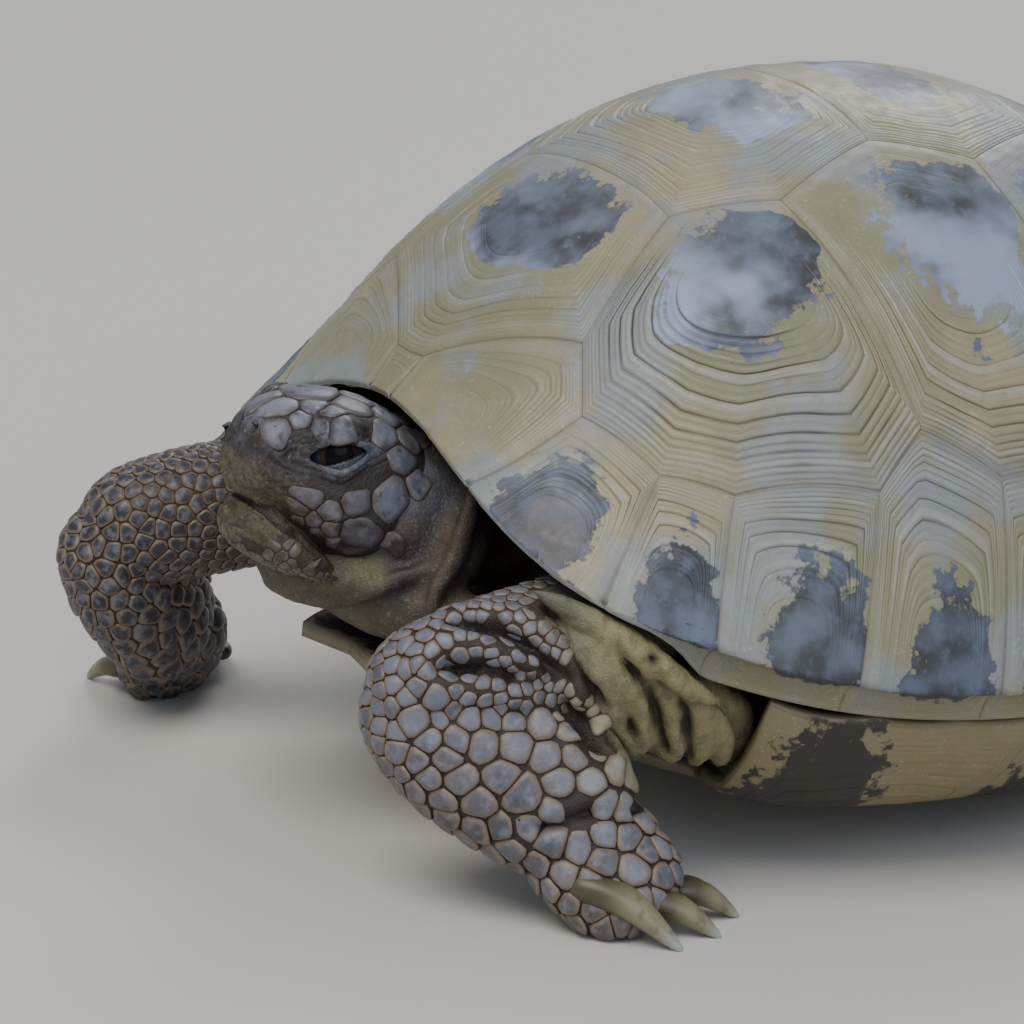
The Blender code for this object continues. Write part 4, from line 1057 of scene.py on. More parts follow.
@dataclass(frozen=True)
class Length:
    """A rounded length of flesh: oval sections along a curve, in metres."""

    spine: tuple[tuple[float, float, float], ...]
    wide: tuple[float, ...]
    deep: tuple[float, ...]
    broad: tuple[float, float, float]
    bluntness: float = 4.0
    facets: tuple[int, int] = (44, 30)

    def rule(self, shrink: float = 0.0) -> Surface:
        """Placing rule of the length's surface, drawn in by a depth."""
        def place(share: np.ndarray, angle: np.ndarray) -> np.ndarray:
            """Point of the surface in the frame."""
            run = 0.5 - 0.5 * np.cos(share * math.pi)
            _, across, over = self.axes(run)
            cap = np.maximum(1.0 - np.abs(2.0 * run - 1.0) ** self.bluntness, 0.0) ** 0.5
            wide = np.maximum(curve(self.wide, run) - shrink, 0.0002) * cap * np.cos(angle)
            deep = np.maximum(curve(self.deep, run) - shrink, 0.0002) * cap * np.sin(angle)
            centre = curve(self.spine, run) + FLESH_SHIFT
            return centre + across * wide[:, None] + over * deep[:, None]

        return place

    def axes(self, run: np.ndarray) -> tuple[np.ndarray, np.ndarray, np.ndarray]:
        """Directions along, across and over the length at shares of its run."""
        ahead = curve(self.spine, np.minimum(run + 0.02, 1.0))
        behind = curve(self.spine, np.maximum(run - 0.02, 0.0))
        axis = units(ahead - behind)
        broad = np.array(self.broad)
        across = units(broad - axis * (axis @ broad)[:, None])
        return axis, across, np.cross(axis, across)

    def mesh(self, shrink: float = 0.0) -> bpy.types.Mesh:
        """The length as a closed mesh."""
        return ball(*self.facets, self.rule(shrink))

    def measure(self, points: np.ndarray) -> tuple[np.ndarray, np.ndarray, np.ndarray]:
        """Where points lie on the length.

        Args:
            points: Places in the frame.

        Returns:
            Share along the run, distance from the axis in radii, angle round it.
        """
        runs = np.linspace(0.0, 1.0, 49)
        spine = curve(self.spine, runs) + FLESH_SHIFT
        apart = ((points[:, None, :] - spine[None]) ** 2).sum(axis=2)
        near = np.argmin(apart, axis=1)
        _, across, over = self.axes(runs)
        way = points - spine[near]
        x = np.einsum("ij,ij->i", way, across[near])
        y = np.einsum("ij,ij->i", way, over[near])
        wide, deep = curve(self.wide, runs)[near], curve(self.deep, runs)[near]
        radii = np.sqrt(apart[np.arange(len(points)), near]) / np.sqrt(wide * deep)
        return runs[near], radii, np.arctan2(y / deep, x / wide)


@dataclass(frozen=True)
class Claw:
    """One claw: root, tip, half width and how high it arches, in metres."""

    root: tuple[float, float, float]
    tip: tuple[float, float, float]
    width: float
    arch: float

    def length(self) -> Length:
        """The claw's curved, pointed form."""
        root, tip = np.array(self.root), np.array(self.tip)
        middle = (root + tip) / 2.0 + np.array([0.0, 0.0, self.arch])
        sideways = units(np.cross(tip - root, np.array([0.0, 0.0, 1.0])))
        width = self.width
        return Length((tuple(root), tuple(middle), tuple(tip)), (width, width * 0.88, width * 0.3),
                      (width * 0.85, width * 0.74, width * 0.26), tuple(sideways), 5.0, (28, 26))


@dataclass(frozen=True)
class Leg:
    """One leg: its three lengths and its claws."""

    name: str
    upper: Length
    lower: Length
    foot: Length
    claws: tuple[Claw, ...]

    @property
    def lengths(self) -> tuple[Length, Length, Length]:
        """The three lengths from the shell outwards."""
        return self.upper, self.lower, self.foot


FORE_UPPER = ((0.0095, 0.0100, 0.0102), (0.0090, 0.0092, 0.0095))
FORE_LOWER = ((0.0086, 0.0118, 0.0121, 0.0106), (0.0084, 0.0086, 0.0078, 0.0068))
FORE_FOOT = ((0.0092, 0.0098, 0.0085), (0.0066, 0.0066, 0.0048))
FORE_LEFT = Leg(
    "foreleg_left",
    Length(((0.034, -0.044, 0.038), (0.0395, -0.070, 0.0372), (0.0315, -0.0940, 0.0295)),
           *FORE_UPPER, (0.0, 0.3, 1.0)),
    Length(((0.0282, -0.0917, 0.0331), (0.0372, -0.0842, 0.0263), (0.0456, -0.0744, 0.0188),
            (0.0525, -0.0677, 0.0119)), *FORE_LOWER, (0.07, 0.59, 0.80)),
    Length(((0.0460, -0.0720, 0.0150), (0.0525, -0.0680, 0.0085), (0.0590, -0.0630, 0.0028)),
           *FORE_FOOT, (0.20, 0.93, 0.15)),
    (Claw((0.0536, -0.0748, 0.0078), (0.0662, -0.0638, 0.0), 0.0031, 0.0022),
     Claw((0.0575, -0.0655, 0.0050), (0.0642, -0.0562, 0.0), 0.0026, 0.0014),
     Claw((0.0555, -0.0595, 0.0048), (0.0585, -0.0495, 0.0), 0.0024, 0.0013),
     Claw((0.0520, -0.0570, 0.0040), (0.0515, -0.0480, 0.0), 0.0016, 0.0010)))
FORE_RIGHT = Leg(
    "foreleg_right",
    Length(((-0.033, -0.044, 0.037), (-0.0400, -0.070, 0.0370), (-0.0520, -0.0955, 0.0310)),
           *FORE_UPPER, (0.0, 0.3, 1.0)),
    Length(((-0.0480, -0.0975, 0.0330), (-0.0520, -0.0880, 0.0240), (-0.0570, -0.0800, 0.0160),
            (-0.0610, -0.0745, 0.0100)), *FORE_LOWER, (-0.50, 0.45, 0.74)),
    Length(((-0.0570, -0.0785, 0.0140), (-0.0630, -0.0745, 0.0070), (-0.0700, -0.0690, 0.0015)),
           *FORE_FOOT, (-0.15, 0.88, 0.42)),
    (Claw((-0.0635, -0.0820, 0.0045), (-0.0745, -0.0830, 0.0), 0.0021, 0.0012),
     Claw((-0.0665, -0.0765, 0.0042), (-0.0785, -0.0755, 0.0), 0.0021, 0.0010),
     Claw((-0.0670, -0.0700, 0.0042), (-0.0790, -0.0675, 0.0), 0.0020, 0.0010),
     Claw((-0.0650, -0.0645, 0.0040), (-0.0760, -0.0595, 0.0), 0.0018, 0.0010)))


def hind_leg(side: float, name: str) -> Leg:
    """A hind leg: the knee inside the shell, the round sole flat on the floor."""
    heel, toe = np.array([side * 0.0495, 0.0665, 0.0]), np.array([side * 0.0600, 0.0500, 0.0])
    ahead = units(toe - heel)
    across = np.cross(ahead, np.array([0.0, 0.0, 1.0])) * side
    claws = []
    for step in (-1.5, -0.5, 0.5, 1.5):
        root = toe + across * step * 0.0042 - ahead * (0.0010 + 0.0012 * abs(step))
        root[2] = 0.0040
        tip = root + ahead * 0.0105 + across * step * 0.0008
        tip[2] = 0.0
        claws.append(Claw(tuple(root), tuple(tip), 0.0020, 0.0010))
    return Leg(
        name,
        Length(((side * 0.026, 0.034, 0.029), (side * 0.037, 0.041, 0.0275),
                (side * 0.0475, 0.047, 0.0235)),
               (0.0100, 0.0100, 0.0090), (0.0095, 0.0100, 0.0090), (0.0, 0.3, 1.0)),
        Length(((side * 0.0455, 0.0440, 0.0260), (side * 0.0485, 0.0520, 0.0170),
                (side * 0.0515, 0.0600, 0.0055)),
               (0.0090, 0.0092, 0.0090), (0.0092, 0.0092, 0.0090), (1.0, 0.3, 0.0)),
        Length(((side * 0.0495, 0.0665, 0.0065), (side * 0.0545, 0.0580, 0.0060),
                (side * 0.0600, 0.0500, 0.0030)),
               (0.0085, 0.0098, 0.0085), (0.0072, 0.0078, 0.0050), (side, 0.7, 0.0)),
        tuple(claws))


LEGS = (FORE_LEFT, FORE_RIGHT, hind_leg(1.0, "hindleg_left"), hind_leg(-1.0, "hindleg_right"))
NECK = Length(((0.0, -0.0840, 0.0470), (0.0, -0.0690, 0.0475), (0.0, -0.0480, 0.0460)),
              (0.0150, 0.0158, 0.0150), (0.0122, 0.0130, 0.0130), (1.0, 0.0, 0.0))
TAIL = Length(((0.0, 0.052, 0.0210), (0.002, 0.067, 0.0160), (0.0085, 0.0780, 0.0085)),
              (0.0062, 0.0048, 0.0018), (0.0058, 0.0044, 0.0016), (1.0, 0.0, 0.0))


@dataclass(frozen=True)
class HeadForm:
    """The head in its own frame: x to its left, y back from the nostrils, z up, in metres."""

    place: tuple[float, float, float] = (0.0, -0.0988, 0.0630)
    pitch: float = math.radians(22)
    start: float = 0.0012
    length: float = 0.0325
    half_width: tuple = ((0.0, 0.0066), (0.003, 0.0082), (0.008, 0.0106), (0.012, 0.0122),
                         (0.018, 0.0134), (0.024, 0.0134), (0.029, 0.0124), (0.0325, 0.0105))
    top: tuple = ((0.0, 0.0034), (0.003, 0.0052), (0.008, 0.0072), (0.013, 0.0086),
                  (0.018, 0.0088), (0.024, 0.0076), (0.0325, 0.0040))
    bottom: tuple = ((0.0, -0.0098), (0.004, -0.0102), (0.010, -0.0122), (0.015, -0.0148),
                     (0.019, -0.0160), (0.0325, -0.0130))
    jaw_start: float = 0.0040
    jaw_length: float = 0.0222
    jaw_half_width: tuple = ((0.0, 0.0056), (0.005, 0.0088), (0.011, 0.0112), (0.017, 0.0112),
                             (0.0222, 0.0090))
    jaw_bottom: tuple = ((0.0, -0.0166), (0.004, -0.0180), (0.009, -0.0188), (0.015, -0.0188),
                         (0.0222, -0.0176))
    eye: tuple[float, float, float] = (0.0078, 0.0122, 0.0008)
    eye_radius: float = 0.0046
    eye_turn: float = math.radians(22)
    lid_tilt: float = math.radians(24)
    lid_half: tuple[float, float, float] = (0.0041, 0.0021, 0.0019)

    @property
    def turn(self) -> np.ndarray:
        """Rotation from the head's frame to the animal's."""
        cos, sin = math.cos(self.pitch), math.sin(self.pitch)
        return np.array([[1.0, 0.0, 0.0], [0.0, cos, sin], [0.0, -sin, cos]])

    def out(self, points: np.ndarray) -> np.ndarray:
        """Carry points from the head's frame to the animal's."""
        return points @ self.turn.T + np.array(self.place) + FLESH_SHIFT

    def back(self, points: np.ndarray) -> np.ndarray:
        """Carry points from the animal's frame to the head's."""
        return (points - FLESH_SHIFT - np.array(self.place)) @ self.turn

    def _table(self, table: tuple, value: np.ndarray) -> np.ndarray:
        """Read a profile, softened between its points."""
        keys, sizes = zip(*table)
        near = [np.interp(value + step, keys, sizes) for step in (-0.0015, -0.0007, 0.0, 0.0007,
                                                                  0.0015)]
        return sum(near) / 5.0

    def part(self, start: float, length: float, tables: tuple,
             bluntness: float, shrink: float) -> Surface:
        """Placing rule for skull or jaw from its profiles along the nose line."""
        half_width, top, bottom = tables

        def place(share: np.ndarray, angle: np.ndarray) -> np.ndarray:
            """Point of the surface in the head's frame."""
            run = 0.5 - 0.5 * np.cos(share * math.pi)
            back = run * length
            cap = np.maximum(1.0 - np.abs(2.0 * run - 1.0) ** bluntness, 0.0) ** (1.0 / bluntness)
            high = self._table(top, back) - shrink
            low = self._table(bottom, back) + shrink
            across, over = np.cos(angle), np.sin(angle)
            full = (np.abs(across) ** 2.3 + np.abs(over) ** 2.3) ** (-1.0 / 2.3)
            x = (self._table(half_width, back) - shrink) * across * full * cap
            z = (high + low) / 2.0 + (high - low) / 2.0 * over * full * cap
            return np.stack([x, start + shrink + back * (1.0 - shrink / length), z], axis=1)

        return place

    def eye_axes(self, side: float) -> tuple[np.ndarray, np.ndarray, np.ndarray]:
        """Directions of the gaze, along the lids to the rear, and across them."""
        gaze = np.array([side * math.cos(self.eye_turn), -math.sin(self.eye_turn), 0.0])
        rear = np.array([side * math.sin(self.eye_turn), math.cos(self.eye_turn), 0.0])
        up = np.array([0.0, 0.0, 1.0])
        cos, sin = math.cos(self.lid_tilt), math.sin(self.lid_tilt)
        return gaze, rear * cos + up * sin, up * cos - rear * sin

    def lid_share(self, points: np.ndarray, side: float) -> np.ndarray:
        """How far from the eye's middle points lie, in lid openings."""
        gaze, along, over = self.eye_axes(side)
        way = points - np.array([self.eye[0] * side, *self.eye[1:]])
        u, v = way @ along, way @ over
        length, above, below = self.lid_half
        high = np.where(v > 0.0, above, below) * (1.0 - 0.35 * np.clip(np.abs(u) / length, 0, 1))
        share = (np.abs(u / length) ** 1.6 + np.abs(v / high) ** 1.6) ** (1.0 / 1.6)
        return np.where(way @ gaze > 0.0, share, 9.0)

    def nearest_lids(self, points: np.ndarray) -> np.ndarray:
        """The smaller of the two sides' shares."""
        return np.minimum(self.lid_share(points, 1.0), self.lid_share(points, -1.0))

    def lid_cutter(self, side: float) -> bpy.types.Mesh:
        """An almond prism that opens the lids."""
        gaze, along, over = self.eye_axes(side)
        length, above, below = self.lid_half
        bm = bmesh.new()
        bmesh.ops.create_circle(bm, cap_ends=True, segments=40, radius=1.0)
        made = bmesh.ops.extrude_face_region(bm, geom=bm.faces[:])
        top = [item for item in made["geom"] if isinstance(item, bmesh.types.BMVert)]
        bmesh.ops.translate(bm, verts=top, vec=(0.0, 0.0, 1.0))
        centre = np.array([self.eye[0] * side, *self.eye[1:]])
        for vert in bm.verts:
            x, y = vert.co.x, vert.co.y
            high = (above if y > 0.0 else below) * (1.0 - 0.35 * abs(x))
            depth = 0.0015 + 0.0065 * vert.co.z
            spot = centre + along * x * length + over * y * high + gaze * depth
            vert.co = self.out(spot[None])[0]
        bmesh.ops.recalc_face_normals(bm, faces=bm.faces[:])
        return mesh_from(bm, "lid_opening")


HEAD = HeadForm()
LEVEL_EYE = (np.array(HEAD.eye) @ HEAD.turn.T) + np.array(HEAD.place)
FLESH_SHIFT = np.array(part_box("eye_left")).mean(axis=0) - LEVEL_EYE


@dataclass(frozen=True)
class TrunkForm:
    """The body that fills the shell and shows in its openings."""

    side_reach: float = 0.87
    front_reach: float = 0.72
    rear_reach: float = 0.80
    armpit: tuple[float, float, float] = (0.05, 50.0, 16.0)
    top_share: float = 0.55
    floor_share: float = 0.72
    wall: float = 0.003
    top_room: float = 0.0022
    wall_room: float = 0.0078
    floor_room: float = 0.0060
    draw_in: float = 0.035
    wall_scale: tuple[float, float] = (0.90, 0.94)
    floor_scale: tuple[float, float] = (0.80, 0.90)

    def rule(self, share: np.ndarray, angle: np.ndarray) -> np.ndarray:
        """Point of the body: a dome over, a wall round and a flat belly under."""
        turned = np.arctan2(np.sin(angle + math.pi / 2.0), np.cos(angle + math.pi / 2.0))
        amount, middle, width = self.armpit
        reach = SHELL.by_side(turned, self.side_reach, self.front_reach, self.rear_reach)
        reach = reach + amount * hill(np.degrees(np.abs(turned)), middle, width)
        over = np.minimum(share / self.top_share, 1.0)
        top = SHELL.dome(turned, reach * np.sin(over * math.pi / 2.0))
        top[:, :2] *= 1.0 - self.draw_in
        top[:, 2] -= self.wall + self.top_room
        side = SHELL.dome(turned, reach)
        low = SHELL.under(side[:, 0], side[:, 1])[:, 2] + self.wall + self.wall_room
        high = side[:, 2] - self.wall - self.top_room
        flat = (1.0 - share) / (1.0 - self.top_share)
        rise = np.clip((flat - self.floor_share) / (1.0 - self.floor_share), 0.0, 1.0)
        walls = np.stack([side[:, 0] * self.wall_scale[0], side[:, 1] * self.wall_scale[1],
                          low + (high - low) * rise], axis=1)
        inner = np.clip(flat / self.floor_share, 0.0, 1.0)
        floor = SHELL.under(side[:, 0] * inner * self.floor_scale[0],
                            side[:, 1] * inner * self.floor_scale[1])
        floor[:, 2] += self.wall + self.floor_room
        level = np.where((share <= self.top_share)[:, None], top,
                         np.where((flat > self.floor_share)[:, None], walls, floor))
        return SHELL.place(level)


def cord(radius: float, *spine: tuple[float, float, float], flat: float = 0.8) -> Length:
    """A fold of loose skin: a rounded roll through points given in millimetres."""
    points = tuple(tuple(value * MM for value in point) for point in spine)
    slim = (radius * 0.55 * MM, radius * MM, radius * MM, radius * 0.75 * MM)
    return Length(points, slim, tuple(value * flat for value in slim), (0.0, -0.7, 0.7), 3.0,
                  (20, 40))


def mirrored(length: Length) -> Length:
    """The same length on the other side of the body."""
    spine = tuple((-x, y, z) for x, y, z in length.spine)
    return Length(spine, length.wide, length.deep, length.broad, length.bluntness, length.facets)


ARMPIT_FOLDS = (
    cord(1.9, (45.5, -74.6, 43.2), (46.8, -72.2, 37.3), (47.3, -68.4, 31.0), (46.5, -65.3, 27.0)),
    cord(3.1, (46.5, -71.2, 43.5), (48.6, -68.3, 39.2), (49.0, -65.2, 34.2), (48.2, -62.2, 27.9),
         (46.0, -59.6, 20.8)),
    cord(2.0, (49.5, -62.5, 39.0), (50.0, -59.1, 31.3), (49.2, -56.4, 24.9), (47.5, -54.6, 20.4)),
    cord(2.1, (52.0, -58.2, 35.5), (51.6, -54.8, 29.8), (50.2, -52.0, 24.5), (48.5, -51.2, 19.6)),
    cord(1.9, (53.5, -54.5, 32.0), (52.5, -50.5, 27.0), (51.0, -48.5, 22.5), (48.5, -47.5, 19.0)),
    cord(2.2, (44.0, -76.8, 48.0), (47.3, -72.2, 45.6), (50.0, -67.2, 42.2), (52.5, -62.8, 38.7),
         (55.0, -57.8, 34.5), (56.0, -52.0, 31.0)),
    cord(1.5, (41.5, -77.0, 45.4), (43.8, -75.8, 42.0), (45.3, -74.2, 38.4), (45.5, -72.5, 35.0)),
    cord(4.6, (40.0, -74.0, 43.0), (43.5, -67.0, 37.0), (44.5, -60.0, 29.0), (44.0, -52.0, 24.0),
         (43.0, -44.0, 24.0)),
    cord(4.6, (46.5, -66.0, 38.0), (47.5, -58.0, 32.0), (48.0, -50.0, 28.0), (47.0, -42.0, 26.0)),
    cord(3.4, (49.5, -53.0, 33.5), (49.0, -47.0, 28.0), (47.5, -44.5, 22.5), (46.0, -45.0, 18.0)))
GROIN_FOLDS = (
    cord(5.5, (30.0, 22.0, 31.0), (41.0, 30.0, 28.0), (49.0, 37.0, 25.0), (52.0, 42.0, 24.0)),
    cord(5.0, (34.0, 22.0, 24.0), (43.0, 29.0, 21.0), (48.0, 37.0, 18.0), (47.0, 43.0, 17.0)))
# The roll round the neck: its left half from the top down, then the same on the right.
COLLAR_LEFT = ((0.0, -68.5, 60.0), (12.0, -69.0, 57.5), (16.2, -69.6, 54.5), (17.8, -71.0, 50.0),
               (17.0, -74.5, 43.8), (14.5, -80.5, 41.3), (12.0, -83.7, 38.9), (8.0, -87.9, 37.1),
               (3.0, -91.0, 37.6), (0.0, -91.6, 37.8))
COLLAR = cord(1.5, *COLLAR_LEFT, *((-x, y, z) for x, y, z in COLLAR_LEFT[-2::-1]))
NECK_FOLDS = (
    cord(1.5, (17.0, -69.4, 57.0), (18.6, -70.8, 53.0), (19.0, -73.5, 45.0), (19.3, -77.0, 40.0),
         (20.0, -77.5, 35.0)),
    cord(3.6, (13.6, -66.0, 55.0), (14.8, -69.0, 50.0), (14.4, -73.0, 44.5), (12.6, -78.0, 40.5)),
    cord(3.8, (15.2, -66.0, 50.0), (15.8, -70.0, 45.0), (15.5, -74.0, 40.0), (16.0, -76.0, 35.5)))
CHEST = cord(6.2, (-24.0, -66.0, 35.0), (-11.0, -76.5, 35.2), (11.0, -76.5, 35.2),
             (24.0, -66.0, 35.0))
FOLDS = [*ARMPIT_FOLDS, *NECK_FOLDS, *GROIN_FOLDS]
FOLDS += [mirrored(fold) for fold in FOLDS]
THROAT = Length(((0.0, -0.0930, 0.0402), (0.0, -0.0800, 0.0405), (0.0, -0.0640, 0.0420)),
                (0.0095, 0.0140, 0.0165), (0.0040, 0.0058, 0.0080), (1.0, 0.0, 0.0))


@dataclass(frozen=True)
class Crease:
    """A valley pressed into the skin along points given in millimetres."""

    depth: float
    width: float
    line: tuple[tuple[float, float, float], ...]

    def nearness(self, level: np.ndarray, sides: tuple[float, ...]) -> np.ndarray:
        """Distance of each place from the valley's line, in widths."""
        best = np.full(len(level), 99.0)
        for side in sides:
            line = np.array(self.line) * np.array([side, 1.0, 1.0])
            for start, end in zip(line, line[1:]):
                way = end - start
                share = np.clip((level - start) @ way / (way @ way), 0.0, 1.0)
                apart = np.linalg.norm(level - start - share[:, None] * way, axis=1)
                best = np.minimum(best, apart / self.width)
        return best


# Above the elbow, across it and down the inner side, and at the wrist.
LIMB_CREASES = (
    Crease(2.7, 1.45, ((38.0, -85.0, 43.0), (43.0, -81.0, 42.5), (47.0, -77.0, 39.5),
                       (48.5, -73.5, 35.5))),
    Crease(3.3, 1.60, ((42.0, -89.0, 38.0), (46.5, -82.0, 37.5), (48.5, -76.0, 34.5),
                       (48.0, -72.0, 30.5), (51.5, -69.0, 25.5))),
    Crease(1.9, 1.20, ((51.5, -79.5, 15.5), (55.0, -71.0, 18.0), (52.5, -64.0, 16.5))))


def armpit_crease(order: int) -> Crease:
    """One valley of the fan of loose skin behind the foreleg, the foremost being the first."""
    top = (44.5 + 3.4 * order, -73.5 + 3.6 * order, 44.5 - 1.8 * order)
    middle = (49.0 + 1.2 * order, -69.5 + 4.6 * order, 35.0 - 2.0 * order)
    bottom = (50.5 - 0.5 * order, -66.0 + 4.4 * order, 24.5 - 0.9 * order)
    return Crease(2.0 - 0.1 * order, 0.95, (top, middle, bottom))


ARMPIT_CREASES = tuple(armpit_crease(order) for order in range(4))


def near_limb_crease(level: np.ndarray) -> np.ndarray:
    """Distance in widths from the nearest crease of the left foreleg."""
    return np.minimum.reduce([crease.nearness(level, (1.0,)) for crease in LIMB_CREASES])


# --- Colours of the hide -----------------------------------------------------
class Pigment(Enum):
    """The few colours of the hide. SHADE, and the near black in places, are painted shade."""

    SOOT = "#242226"
    SHADE = "#352F29"
    DUSK = "#504E55"
    SLATE = "#565965"
    ASH = "#6A6B74"
    UMBER = "#483C2D"
    EARTH = "#564E3B"
    OLIVE = "#48442F"
    MOSS = "#62603C"
    BUFF = "#877F5A"


@dataclass(frozen=True)
class Daub:
    """A soft patch of colour: its middle and reach in millimetres."""

    place: tuple[float, float, float]
    reach: float
    pigment: Pigment
    strength: float = 1.0


@dataclass(frozen=True)
class Markings:
    """Colours of the living animal's hide, shared by the skin and its scales, with painted shade on
    the far foreleg, the neck under the shell and the back of the head.
    """

    head: tuple[Daub, ...] = (
        # Crown and snout, then the dark in front of the eye and round the nostril.
        Daub((0.0, 12.0, 9.0), 9.0, Pigment.SLATE), Daub((2.0, 2.0, 5.0), 4.0, Pigment.ASH),
        Daub((4.0, 1.0, -1.0), 2.6, Pigment.SOOT), Daub((9.0, 5.0, -2.0), 3.6, Pigment.SOOT),
        # Beak.
        Daub((3.5, 2.0, -8.0), 2.8, Pigment.EARTH), Daub((9.0, 7.0, -9.0), 4.0, Pigment.UMBER),
        # Below the eye, cheek and temple.
        Daub((12.5, 11.5, -4.5), 3.2, Pigment.ASH), Daub((13.0, 13.5, -9.0), 2.4, Pigment.EARTH),
        Daub((13.5, 18.0, -7.0), 4.5, Pigment.DUSK), Daub((13.0, 21.0, 0.0), 5.0, Pigment.SLATE),
        Daub((13.0, 24.0, -7.0), 3.0, Pigment.UMBER),
        Daub((12.5, 20.5, -12.5), 1.9, Pigment.MOSS, 1.4),
        # Jaw, chin and throat.
        Daub((8.0, 6.0, -14.0), 4.0, Pigment.OLIVE), Daub((11.0, 14.0, -15.0), 4.0, Pigment.UMBER),
        Daub((0.0, 12.0, -18.0), 9.0, Pigment.OLIVE),
        # Back of the head: its lower part near black, painted shade under the shell's rim.
        Daub((9.0, 28.0, 4.0), 5.0, Pigment.DUSK), Daub((12.0, 29.0, -6.0), 5.0, Pigment.SOOT))
    body: tuple[Daub, ...] = (
        # Near foreleg: outer face, forearm, foot and toes, inner face.
        Daub((38.0, -85.0, 38.0), 13.0, Pigment.SLATE), Daub((46.0, -83.0, 24.0), 11.0, Pigment.SLATE),
        Daub((43.0, -90.0, 14.0), 9.0, Pigment.UMBER), Daub((57.0, -70.0, 11.0), 8.0, Pigment.SLATE),
        Daub((58.0, -73.0, 5.0), 6.0, Pigment.EARTH), Daub((33.0, -79.0, 26.0), 9.0, Pigment.EARTH),
        # Armpit.
        Daub((49.0, -61.0, 32.0), 10.0, Pigment.BUFF), Daub((44.0, -72.0, 44.0), 4.0, Pigment.MOSS),
        Daub((52.0, -65.0, 42.0), 5.0, Pigment.BUFF, 1.4),
        # Chest, neck and the body's flank; the top of the neck under the shell is painted shade.
        Daub((0.0, -80.0, 38.0), 10.0, Pigment.EARTH), Daub((16.0, -76.0, 44.0), 8.0, Pigment.UMBER),
        Daub((0.0, -60.0, 52.0), 14.0, Pigment.SHADE), Daub((0.0, 0.0, 40.0), 40.0, Pigment.EARTH),
        # Far foreleg, dark throughout: painted shade.
        Daub((-45.0, -88.0, 39.0), 13.0, Pigment.SOOT), Daub((-55.0, -84.0, 18.0), 13.0, Pigment.SOOT),
        Daub((-40.0, -78.0, 24.0), 9.0, Pigment.SHADE),
        # Hind legs and tail.
        Daub((48.0, 50.0, 22.0), 10.0, Pigment.DUSK), Daub((-48.0, 50.0, 22.0), 10.0, Pigment.DUSK),
        Daub((54.0, 58.0, 6.0), 10.0, Pigment.EARTH), Daub((-54.0, 58.0, 6.0), 10.0, Pigment.EARTH),
        Daub((3.0, 68.0, 14.0), 10.0, Pigment.EARTH))

    def paint(self, points: np.ndarray, daubs: tuple[Daub, ...]) -> np.ndarray:
        """Linear colours at points given in millimetres."""
        total = np.zeros((len(points), 3))
        weight = np.full(len(points), 1e-9)
        for daub in daubs:
            apart = ((points - np.array(daub.place)) ** 2).sum(axis=1)
            share = daub.strength * np.exp(-apart / daub.reach ** 2) + 1e-6 / (1.0 + apart)
            total += share[:, None] * np.array(linear(daub.pigment.value)[:3])
            weight += share
        return total / weight[:, None]

    def of(self, points: np.ndarray) -> np.ndarray:
        """Colour of the hide at places in the frame: head and body flow together."""
        level = (points - FLESH_SHIFT) / MM
        body = self.paint(level, self.body)
        own = HEAD.back(points) / MM
        near = smooth_step(31.5, 27.0, own[:, 1]) * smooth_step(17.0, 14.5, np.abs(own[:, 0]))
        near *= smooth_step(-21.5, -19.5, own[:, 2])
        own[:, 0] = np.abs(own[:, 0])
        return body + (self.paint(own, self.head) - body) * near[:, None]


MARKINGS = Markings()


@dataclass(frozen=True)
class LivingHide:
    """Dry, matt hide between the scales, creased and dusty in its folds.

    It shows fine grain, flecked paler with dust, and near-black brown painted shade
    in its creases, round mouth, nostrils and lids, and under the scales.
    """

    name: str = "living_hide_dry_and_creased"
    # Dark brown for grime stains, and for painted shade in creases and under the scales.
    crease: str = "#2A1F16"
    dust: str = "#918A78"
    roughness: float = 0.62

    def build(self) -> bpy.types.Material:
        """Make the material's nodes."""
        look = Finish(self.name)
        # Grime in patches 2 mm across, flakes 0.9 mm across and speckle 0.3 mm across.
        mottle = look.noise(480.0, 5.0, Roughness=0.65)
        flake = look.noise(1100.0, 5.0, Roughness=0.6)
        speckle = look.noise(3000.0, 3.0)
        grain = add_node(look.tree, "TexVoronoi", {"Vector": look.place, "Scale": 1300.0},
                         feature="DISTANCE_TO_EDGE").outputs["Distance"]
        stain = look.math("MULTIPLY", look.ramp(mottle, 0.44, 0.64), look.read("grime"))
        base = look.mix(look.read("hide", "Color"), self.crease, stain)
        base = look.mix(base, self.dust, look.ramp(flake, 0.56, 0.74, 0.40))
        base = look.mix(base, self.dust, look.ramp(speckle, 0.60, 0.76, 0.35))
        # Painted shade: near-black brown in creases, round mouth, nostrils and lids, and under the
        # scales.
        base = look.mix(base, self.crease, look.ramp(look.read("hollow"), 0.1, 0.9, 0.93))
        relief = look.math("ADD", look.ramp(grain, 0.0, 0.22), speckle)
        return look.done(base, self.roughness, relief, 0.40, 0.00013)


